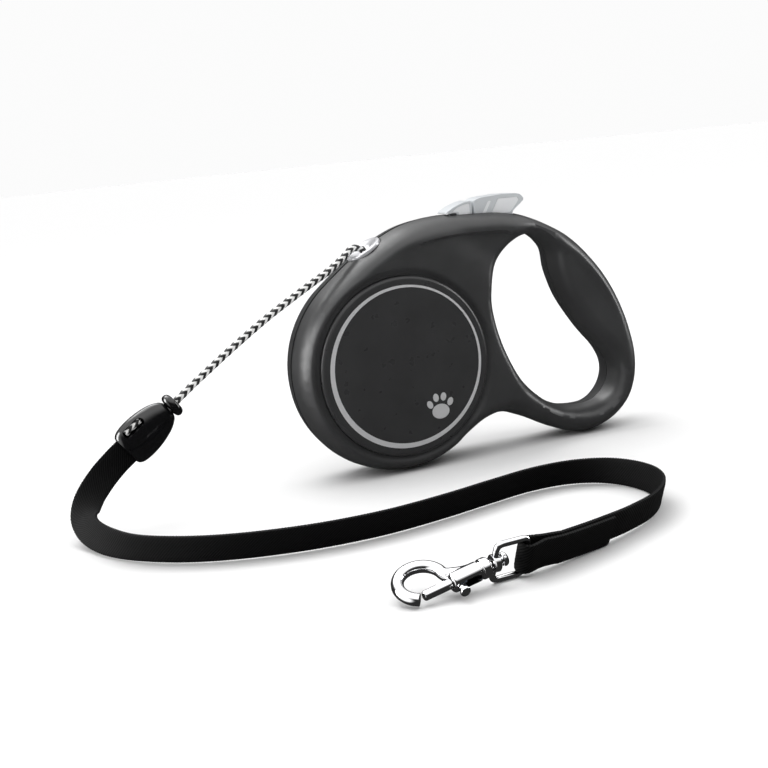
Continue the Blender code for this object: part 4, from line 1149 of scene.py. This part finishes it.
def eye_frame():
    """Square wire eye with rounded corners and a boss that turns on the hook's neck."""
    half_height = EYE_HALF_HEIGHT - 0.5 * EYE_BAR
    corners = rounded([(-BAR_OFFSET, -half_height), (EYE_FRONT, -half_height), (EYE_FRONT, half_height),
                       (-BAR_OFFSET, half_height)], 2.2, steps=8)
    spots = [eye_at + eye_along * u + eye_up * v for u, v in corners]
    rows = even_spacing(np.array([tuple(p) for p in spots]), 140, True)
    count, around = len(rows), WIRE_STEPS
    ahead = unit(np.roll(rows, -1, axis=0) - np.roll(rows, 1, axis=0))
    points = []
    for place, direction in zip(rows, ahead):
        across = Vector(direction).cross(eye_face)
        for j in range(around):
            angle = 2.0 * math.pi * j / around
            offset = across * math.cos(angle) + eye_face * math.sin(angle)
            points.append(Vector(place) + offset * EYE_WIRE)
    faces = []
    for k in range(count):
        n = (k + 1) % count
        for j in range(around):
            m = (j + 1) % around
            faces.append((k * around + j, k * around + m, n * around + m, n * around + j))
    made = add_piece("eye_frame", points, faces, CHROME, None)
    boss = [(0.0, -1.2), (2.6, -1.2), (2.9, -0.9), (2.9, 0.9), (2.6, 1.2), (0.0, 1.2)]
    combine(made, lathe("boss", boss, CHROME, eye_at, eye_along, eye_up, steps=64), "UNION")
    bore = [(0.0, -3.0), (1.5, -3.0), (1.5, 3.0), (0.0, 3.0)]
    cut(made, lathe("eye_bore", bore, CHROME, eye_at, eye_along, eye_up, steps=48))
    settle(made, "eye", ("swivel_eye",))
    return made


def snap_body():
    """Turned barrel with its neck, and the open ring swept from its end."""
    outline = [(0.0, -4.2), (1.8, -4.2), (2.3, -3.6), (2.3, -2.6), (1.0, -2.2), (1.0, 2.1), (2.3, 2.1),
               (3.3, 2.8), (3.3, 5.2), (2.7, 5.5), (2.7, 6.0), (3.2, 6.3), (3.2, 15.2), (2.8, 15.8),
               (0.0, 15.8)]
    made = lathe("snap_body", rounded(outline, 0.45), CHROME, eye_at, hook_axis, hook_side, steps=72)
    neck = [(7.5, 0.7, 2.6), (10.5, 1.3, 2.6), (13.0, 2.5, 2.5), (14.8, 3.9, 2.25)]
    arm = [(*hook_point(u, v), radius) for u, v, radius in neck]
    for k in range(SWEEP_STEPS + 1):
        angle = math.radians(180.0 - HOOK_SWEEP * k / SWEEP_STEPS)
        arm.append((*hook_point(HOOK_RING_AT + HOOK_RING_RADIUS * math.cos(angle),
                                HOOK_RING_SIDE + HOOK_RING_RADIUS * math.sin(angle)), HOOK_WIRE))
    rows = even_spacing(catmull(arm, 8, False), 130, False)
    combine(made, tube("arm", rows[:, :3], rows[:, 3], CHROME, around=28), "UNION")
    bore = [(0.0, 4.4), (2.0, 4.4), (2.0, 20.5), (0.0, 20.5)]
    cut(made, lathe("barrel_bore", bore, CHROME, eye_at, hook_axis, hook_side, steps=56))
    slot = rounded([(6.6, -1.4), (15.3, -1.4), (15.3, 1.4), (6.6, 1.4)], 1.2)
    cut(made, prism("thumb_slot", slot, 0.0, 6.0, CHROME, eye_at, -hook_side, hook_axis))
    settle(made, "hook", ("hook_body",))
    return made


def snap_bolt():
    """Round bolt that closes the hook's mouth, with its thumb knob."""
    pin = [(0.0, 13.0), (1.2, 13.0), (1.6, 13.4), (1.6, 25.2), (1.2, 25.6), (0.0, 25.6)]
    made = lathe("snap_bolt", rounded(pin, 0.3), CHROME, eye_at, hook_axis, hook_side, steps=48)
    knob = [(0.0, 0.2), (1.0, 0.2), (1.0, 4.6), (1.7, 4.9), (1.7, 5.7), (1.2, 6.1), (0.0, 6.1)]
    combine(made, lathe("knob", rounded(knob, 0.25), CHROME, eye_at + hook_axis * 14.1, -hook_side,
                        hook_axis, steps=48), "UNION")
    settle(made, "bolt", ("hook_bolt",))
    return made


fittings = [eye_frame(), snap_body(), snap_bolt()]


# ---- pieces kept from the frame

kept_looks = {
    "axle_pin": STEEL, "spring_arbor": STEEL, "mainspring": BLUED, "inner_cord_run": WOUND,
    "reel_drum": NYLON, "reel_flange": NYLON, "cord_pack": WOUND, "brake_spring": BLUED,
    "brake_pawl": STEEL, "bolt_spring": BLUED}
for number in range(len(SCREWS)):
    kept_looks["casing_screw_%d" % (number + 1)] = STEEL
for node, look in kept_looks.items():
    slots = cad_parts[node].data.materials
    slots.clear()
    slots.append(look)
